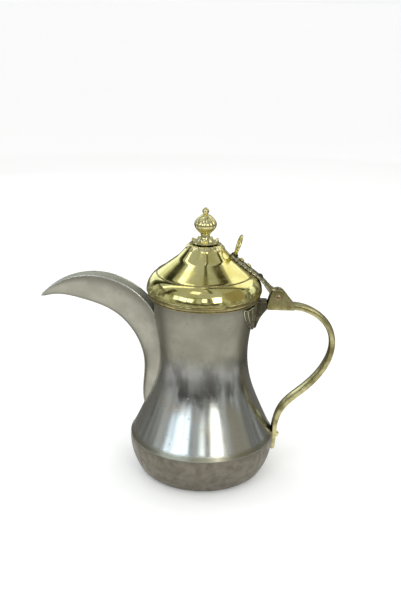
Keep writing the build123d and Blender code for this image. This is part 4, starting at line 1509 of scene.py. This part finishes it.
@dataclass
class HingeLeaf:
    """Pierced-looking cast leaf on the cone, its arm and knuckle, rivets and thumb ring."""

    half: float = 6.2
    top: float = 25.0
    knuckle_r: float = 6.0
    knuckle_half: float = 3.0
    bore_r: float = 2.06
    boss_places: tuple = (6.0, 14.0)
    blind_boss: float = -8.0
    rivet_r: float = 2.5
    ring_place: float = 22.0
    ring_r: float = 8.3
    ring_wire: float = 1.1
    ring_lean: float = 19.0

    def build(self) -> None:
        """Makes and dresses the hinge's moving pieces."""
        self.build_leaf()
        self.build_knuckle()
        self.build_rivets()
        self.build_ring()

    def _lines(self) -> tuple[np.ndarray, np.ndarray]:
        """Outer and inner faces of the leaf and arm as (x, z), from the leaf's tip to the knuckle."""
        straight = np.linspace(self.top, 0, 40)
        outer = np.array([cone_point(a, LEAF_THICK) for a in straight])
        inner = np.array([cone_point(a, 0.04) for a in straight])
        above = [(54.6, 184.4), (60.8, 179.0), (67.5, 177.2)]
        below = [(49.9, 184.0), (55.0, 176.2), (60.6, 169.5)]
        outer_arm = Track([cone_point(0, LEAF_THICK), *above]).sample(34)[1:]
        inner_arm = Track([cone_point(0, 0.04), *below]).sample(34)[1:]
        return np.vstack([outer, outer_arm]), np.vstack([inner, inner_arm])

    def build_leaf(self) -> bpy.types.Object:
        """Leaf and arm, with lobes along both edges and a row of lumps down the middle."""
        outer, inner = self._lines()
        run = run_along(outer)
        leaf = [(0.0, 1.2), (4.0, 4.3), (10.0, 5.4), (23.0, 6.2), (38.0, 5.5), (46.0, 3.3)]
        outline = Track([*leaf, (run[-1], 3.0)]).points
        half = np.interp(run, outline[:, 0], outline[:, 1])
        lobes = 0.55 * np.sin(run * TURN / 5.2) * np.clip((44 - run) / 6, 0, 1)
        half = np.minimum(half + lobes, self.half)
        lumps = 0.55 * np.abs(np.sin(run * math.pi / 5.2)) * np.clip((48 - run) / 6, 0, 1)
        across = np.linspace(-1, 1, 15)
        crown = 1 - 0.45 * np.abs(across) ** 2.5
        ridge = np.exp(-((across / 0.28) ** 2))
        side = np.exp(-(((np.abs(across) - 0.78) / 0.14) ** 2))
        normal = outer - inner
        thick = np.linalg.norm(normal, axis=1)
        normal /= thick[:, None]
        height = (thick - 0.9)[:, None] * crown[None, :]
        height = height + lumps[:, None] * ridge[None, :] + 0.5 * side[None, :]
        tip = np.clip(run / 1.5, 0.15, 1) ** 0.5
        height = height * tip[:, None]
        x = inner[:, 0, None] + normal[:, 0, None] * height
        z = inner[:, 1, None] + normal[:, 1, None] * height
        y = half[:, None] * across[None, :]
        face = np.stack([x, y, z], axis=-1)
        back = np.stack(np.broadcast_arrays(inner[:, 0, None], y, inner[:, 1, None]), axis=-1)
        grid = np.concatenate([face, back[:, ::-1]], axis=1)
        item = capped_object("hinge_leaf", grid, 55)
        return fit(item, LEAF_BRASS, Body.LID, Slot.AGED, "lid_leaf")

    def build_knuckle(self) -> bpy.types.Object:
        """Barrel that turns on the pin between the cheeks."""
        r, h = self.knuckle_r, self.knuckle_half
        outline = softened([(self.bore_r, -h), (r, -h), (r, h), (self.bore_r, h)], 0.6, 4)
        item = lathe("hinge_knuckle", outline, 64, None, (PIN_X, 0, PIN_Z), (0, 1, 0))
        return fit(item, BLACKENED_AND_SHADE, Body.LID, Slot.AGED)

    def build_rivets(self) -> None:
        """Two through rivets with flat heads inside, and one blind boss nearer the knuckle."""
        normal = cone_normal()
        dome = arc((self.rivet_r, 0.1), (1.8, 1.2), (0.0, 1.6), 9)
        for index, place in enumerate(self.boss_places):
            depth = LEAF_THICK - 0.4
            x, z = cone_point(place, depth)
            inside = [(0.0, -depth - 2.4), (2.2, -depth - 2.4), (2.4, -depth - 1.8)]
            outline = np.vstack([inside, [(1.3, -depth - 1.3), (1.3, 0.0)], dome])
            item = lathe(f"leaf_rivet_{index}", outline, 32, Handle._peened, (x, 0, z), normal)
            fit(item, CAST_BRASS, Body.LID, Slot.AGED, *(["leaf_rivets"] if index == 0 else []))
        x, z = cone_point(self.blind_boss, LEAF_THICK - 0.9)
        outline = np.vstack([[(0.0, -0.6), (self.rivet_r - 0.2, -0.6)], dome])
        item = lathe("leaf_boss", outline, 32, Handle._peened, (x, 0, z), normal)
        fit(item, BLACKENED_AND_SHADE, Body.LID, Slot.AGED)

    def build_ring(self) -> bpy.types.Object:
        """Thumb ring of round wire on a small seat at the leaf's upper end."""
        lean = math.radians(self.ring_lean)
        up = np.array([math.sin(lean), 0.0, math.cos(lean)])
        side = np.array([0.0, 1.0, 0.0])
        x, z = cone_point(self.ring_place, LEAF_THICK)
        foot = np.array([x, 0.0, z])
        centre = foot + up * (self.ring_r + 0.4 * self.ring_wire)
        normal = np.cross(up, side)
        angles, profile = steps_round(96)[:, None], steps_round(18)
        thicker_foot = 0.25 * np.exp(-(((angles - 1.5 * math.pi) / 0.5) ** 2))
        wire = self.ring_wire * (1 + 0.05 * np.sin(3 * angles) + thicker_foot)
        radius = self.ring_r + wire * np.cos(profile)
        offset = wire * np.sin(profile)
        grid = (
            centre
            + (radius * np.cos(angles))[..., None] * side
            + (radius * np.sin(angles))[..., None] * up
            + offset[..., None] * normal
        )
        ring = fit(grid_object("thumb_ring_wire", grid), LID_BRASS, Body.LID, Slot.AGED, "thumb_ring")
        outline = softened([(0.0, -1.6), (3.2, -1.6), (3.2, 0.0), (1.9, 1.0), (0.0, 1.0)], 0.5, 3)
        seat = lathe("thumb_ring_seat", outline, 40, None, tuple(foot), tuple(up))
        fit(seat, BLACKENED_AND_SHADE, Body.LID, Slot.AGED)
        return ring


# ---- studio ----


def flat_sheet(name: str, width: float, depth: float) -> bpy.types.Object:
    """A level rectangle about its own origin, sized in metres."""
    w, d = width / MM / 2, depth / MM / 2
    return make_object(name, [(-w, -d, 0), (w, -d, 0), (w, d, 0), (-w, d, 0)], [(0, 1, 2, 3)])


@dataclass(frozen=True)
class Panel:
    """Flat light or card that faces the pot, placed by compass angle and height angle.

    Angle 0 is towards the viewer's side and grows towards the handle's side.
    """

    name: str
    turn: float
    height: float
    distance: float
    width: float
    tall: float
    colour: Colour
    brightness: float


@dataclass
class Studio:
    """Pale floor, soft lights with dark gaps between them, and the camera."""

    target: tuple = (0.0, 0.0, 0.12)
    reach: float = 0.8
    tilt: float = 22.0
    roll: float = 1.1
    lens: float = 52.83
    shift: tuple = (-0.0045, 0.0765)
    floor_half: float = 40.0
    floor_tone: Colour = (0.90, 0.90, 0.895)
    sky: Colour = (0.93, 0.935, 0.935)
    sky_strength: float = 1.0
    floor_glow: float = 0.12
    room_radius: float = 1.7
    room_top: float = 1.15
    room_dark: Colour = (0.12, 0.115, 0.10)
    room_light: Colour = (0.55, 0.56, 0.53)
    ceiling_height: float = 1.62
    ceiling_tone: Colour = (0.46, 0.47, 0.485)
    lift: float = 0.002
    table_hole: float = 0.13
    table_reach: float = 1.72
    table_near: float = 0.34
    table_far: float = 0.62
    table_dark: Colour = (0.17, 0.16, 0.14)
    table_light: Colour = (0.95, 0.955, 0.94)
    lights: tuple = (
        Panel("window_left", -42.0, 20.0, 1.3, 0.92, 0.42, (0.78, 0.90, 1.0), 2.3),
        Panel("window_middle", 1.0, 23.0, 1.3, 0.18, 0.38, (0.95, 1.0, 0.97), 2.0),
        Panel("window_right", 26.0, 23.0, 1.3, 0.38, 0.58, (1.0, 0.99, 0.90), 3.9),
        Panel("window_side", 112.0, 14.0, 1.3, 0.40, 0.40, (0.80, 0.90, 1.0), 0.8),
        Panel("strip_left", -105.0, 56.0, 1.3, 0.13, 1.1, (1.0, 1.0, 0.94), 1.7),
        Panel("strip_side", -151.0, 22.0, 1.3, 0.50, 0.9, (0.90, 1.0, 0.98), 1.0),
        Panel("strip_overhead", 12.0, 85.0, 1.3, 0.07, 0.60, (1.0, 1.0, 0.94), 1.3),
        Panel("strip_knob", -25.0, 60.0, 1.3, 0.30, 0.24, (1.0, 1.0, 0.96), 2.2),
        Panel("strip_right", 128.0, 40.0, 1.3, 0.72, 0.80, (1.0, 0.99, 0.90), 0.85),
    )
    cards: tuple = (
        Panel("card_right", 68.0, 28.0, 1.2, 0.80, 1.0, (0.33, 0.30, 0.22), 1.0),
        Panel("card_low", -8.0, 2.0, 1.15, 1.7, 0.14, (0.08, 0.07, 0.06), 1.0),
        Panel("card_left_high", -127.0, 39.0, 1.2, 0.22, 1.1, (0.025, 0.03, 0.015), 1.0),
        Panel("card_right_high", 100.0, 60.0, 1.2, 0.14, 1.2, (0.05, 0.04, 0.01), 1.0),
        Panel("card_far_left", -80.0, 36.0, 1.2, 0.22, 0.60, (0.05, 0.045, 0.025), 1.0),
        Panel("card_bar_left", -52.0, 22.0, 1.15, 0.05, 0.60, (0.30, 0.32, 0.34), 1.0),
        Panel("card_bar_middle", -33.0, 22.0, 1.15, 0.035, 0.60, (0.30, 0.32, 0.34), 1.0),
        Panel("card_bar_across", -10.0, 33.0, 1.15, 1.3, 0.05, (0.14, 0.13, 0.09), 1.0),
        Panel("card_over", 20.0, 74.0, 1.2, 0.10, 0.70, (0.10, 0.09, 0.04), 1.0),
    )

    def build(self) -> None:
        """Makes the floor, the lights and the camera."""
        self.build_floor()
        self.build_sky()
        self.build_room()
        self.build_table()
        self.build_ceiling()
        for panel in self.lights:
            self.build_light(panel)
        for panel in self.cards:
            self.build_card(panel)
        self.build_camera()
        bpy.context.scene.view_settings.view_transform = "Standard"

    def build_floor(self) -> None:
        """Large plain floor at height 0."""
        floor = flat_sheet("floor", 2 * self.floor_half, 2 * self.floor_half)
        graph = Graph("floor_paper")
        tone = graph.tint(graph.cloud(3.0, 2.0), self.floor_tone, tuple(v * 0.985 for v in self.floor_tone))
        glow = {"Emission Color": (1.0, 1.0, 1.0), "Emission Strength": self.floor_glow}
        floor.data.materials.append(graph.dress({"Base Color": tone, "Roughness": 0.9} | glow))

    def build_sky(self) -> None:
        """Even pale surroundings."""
        world = bpy.data.worlds.new("surroundings")
        world.use_nodes = True
        background = world.node_tree.nodes["Background"]
        background.inputs["Color"].default_value = (*self.sky, 1.0)
        background.inputs["Strength"].default_value = self.sky_strength
        bpy.context.scene.world = world

    def build_room(self) -> None:
        """Dim round wall, seen only in the metal, with soft uneven patches like a room's."""
        heights = np.array([self.lift, self.room_top]) / MM
        grid = polar(self.room_radius / MM, steps_round(64)[:, None], heights)
        wall = grid_object("room_wall", grid, along=False)
        graph = Graph("room_wall")
        patches = graph.between(graph.cloud(1.0, 3.0, 0.6, graph.stretched((2.6, 2.6, 1.1))), 0.40, 0.62)
        wall.data.materials.append(graph.glow(graph.tint(patches, self.room_dark, self.room_light)))
        self._hide(wall)

    def build_table(self) -> None:
        """Uneven table top, seen only in the metal: paler before the pot, dark behind it."""
        radii = np.array([self.table_hole, self.table_reach]) / MM
        grid = polar(radii, steps_round(64)[:, None], self.lift / MM)
        top = grid_object("room_table", grid, along=False)
        graph = Graph("room_table")
        front = graph.between(graph.along("Y"), 0.16, -0.10)
        span = graph.node("ShaderNodeVectorMath", {"operation": "LENGTH"}, {0: graph.place}, "Value")
        far = graph.between(span, self.table_near, self.table_far)
        patches = 1 - far * graph.between(graph.cloud(9.0, 3.0, 0.6), 0.60, 0.42, 0.55, 1.0)
        tone = graph.tint(patches * front, self.table_dark, self.table_light)
        top.data.materials.append(graph.glow(tone))
        self._hide(top)

    def build_ceiling(self) -> None:
        """Grey ceiling, seen only in the metal."""
        ceiling = flat_sheet("room_ceiling", 3 * self.ceiling_height, 3 * self.ceiling_height)
        ceiling.location.z = self.ceiling_height
        ceiling.data.materials.append(Graph("room_ceiling").glow(self.ceiling_tone))
        self._hide(ceiling)

    @staticmethod
    def _hide(item: bpy.types.Object) -> None:
        """Leaves a studio surface to show in reflections alone."""
        item.visible_camera = False
        item.visible_shadow = False
        item.visible_diffuse = False

    def _place(self, item: bpy.types.Object, panel: Panel) -> None:
        """Puts a light or card where its panel says, facing the pot."""
        turn, height = math.radians(panel.turn), math.radians(panel.height)
        level = math.cos(height)
        away = Vector((math.sin(turn) * level, -math.cos(turn) * level, math.sin(height)))
        item.location = Vector(self.target) + away * panel.distance
        item.rotation_mode = "QUATERNION"
        item.rotation_quaternion = away.to_track_quat("Z", "Y")
        item.visible_camera = False

    def build_light(self, panel: Panel) -> None:
        """Soft area light of an even brightness."""
        data = bpy.data.lights.new(panel.name, "AREA")
        data.shape = "RECTANGLE"
        data.size, data.size_y = panel.width, panel.tall
        data.energy = panel.brightness * math.pi * panel.width * panel.tall
        data.color = panel.colour
        item = bpy.data.objects.new(panel.name, data)
        bpy.context.scene.collection.objects.link(item)
        self._place(item, panel)

    def build_card(self, panel: Panel) -> None:
        """Dark card that gives the polished metal something to mirror."""
        card = flat_sheet(panel.name, panel.width, panel.tall)
        card.data.materials.append(Graph(panel.name).glow(panel.colour, panel.brightness))
        self._place(card, panel)
        self._hide(card)

    def build_camera(self) -> None:
        """Camera in front of the pot, looking down at it."""
        data = bpy.data.cameras.new("view")
        data.lens = self.lens
        data.shift_x, data.shift_y = self.shift
        data.clip_start, data.clip_end = 0.01, 200.0
        item = bpy.data.objects.new("view", data)
        bpy.context.scene.collection.objects.link(item)
        tilt = math.radians(self.tilt)
        back = Vector((0.0, -math.cos(tilt), math.sin(tilt)))
        item.location = Vector(self.target) + back * self.reach
        item.rotation_mode = "QUATERNION"
        item.rotation_quaternion = (-back).to_track_quat("-Z", "Y")
        item.rotation_quaternion.rotate(Quaternion(back, math.radians(self.roll)))
        bpy.context.scene.camera = item


def main() -> None:
    """Builds the pot, the lid and the studio in order."""
    logging.basicConfig(level=logging.INFO, format="%(name)s: %(message)s")
    for kind in (Vessel, Collar, Beak, Handle, Bracket, Lid, Crown, HingeLeaf, Studio):
        LOG.info("building %s", kind.__name__)
        kind().build()


if __name__ == "__main__":
    main()
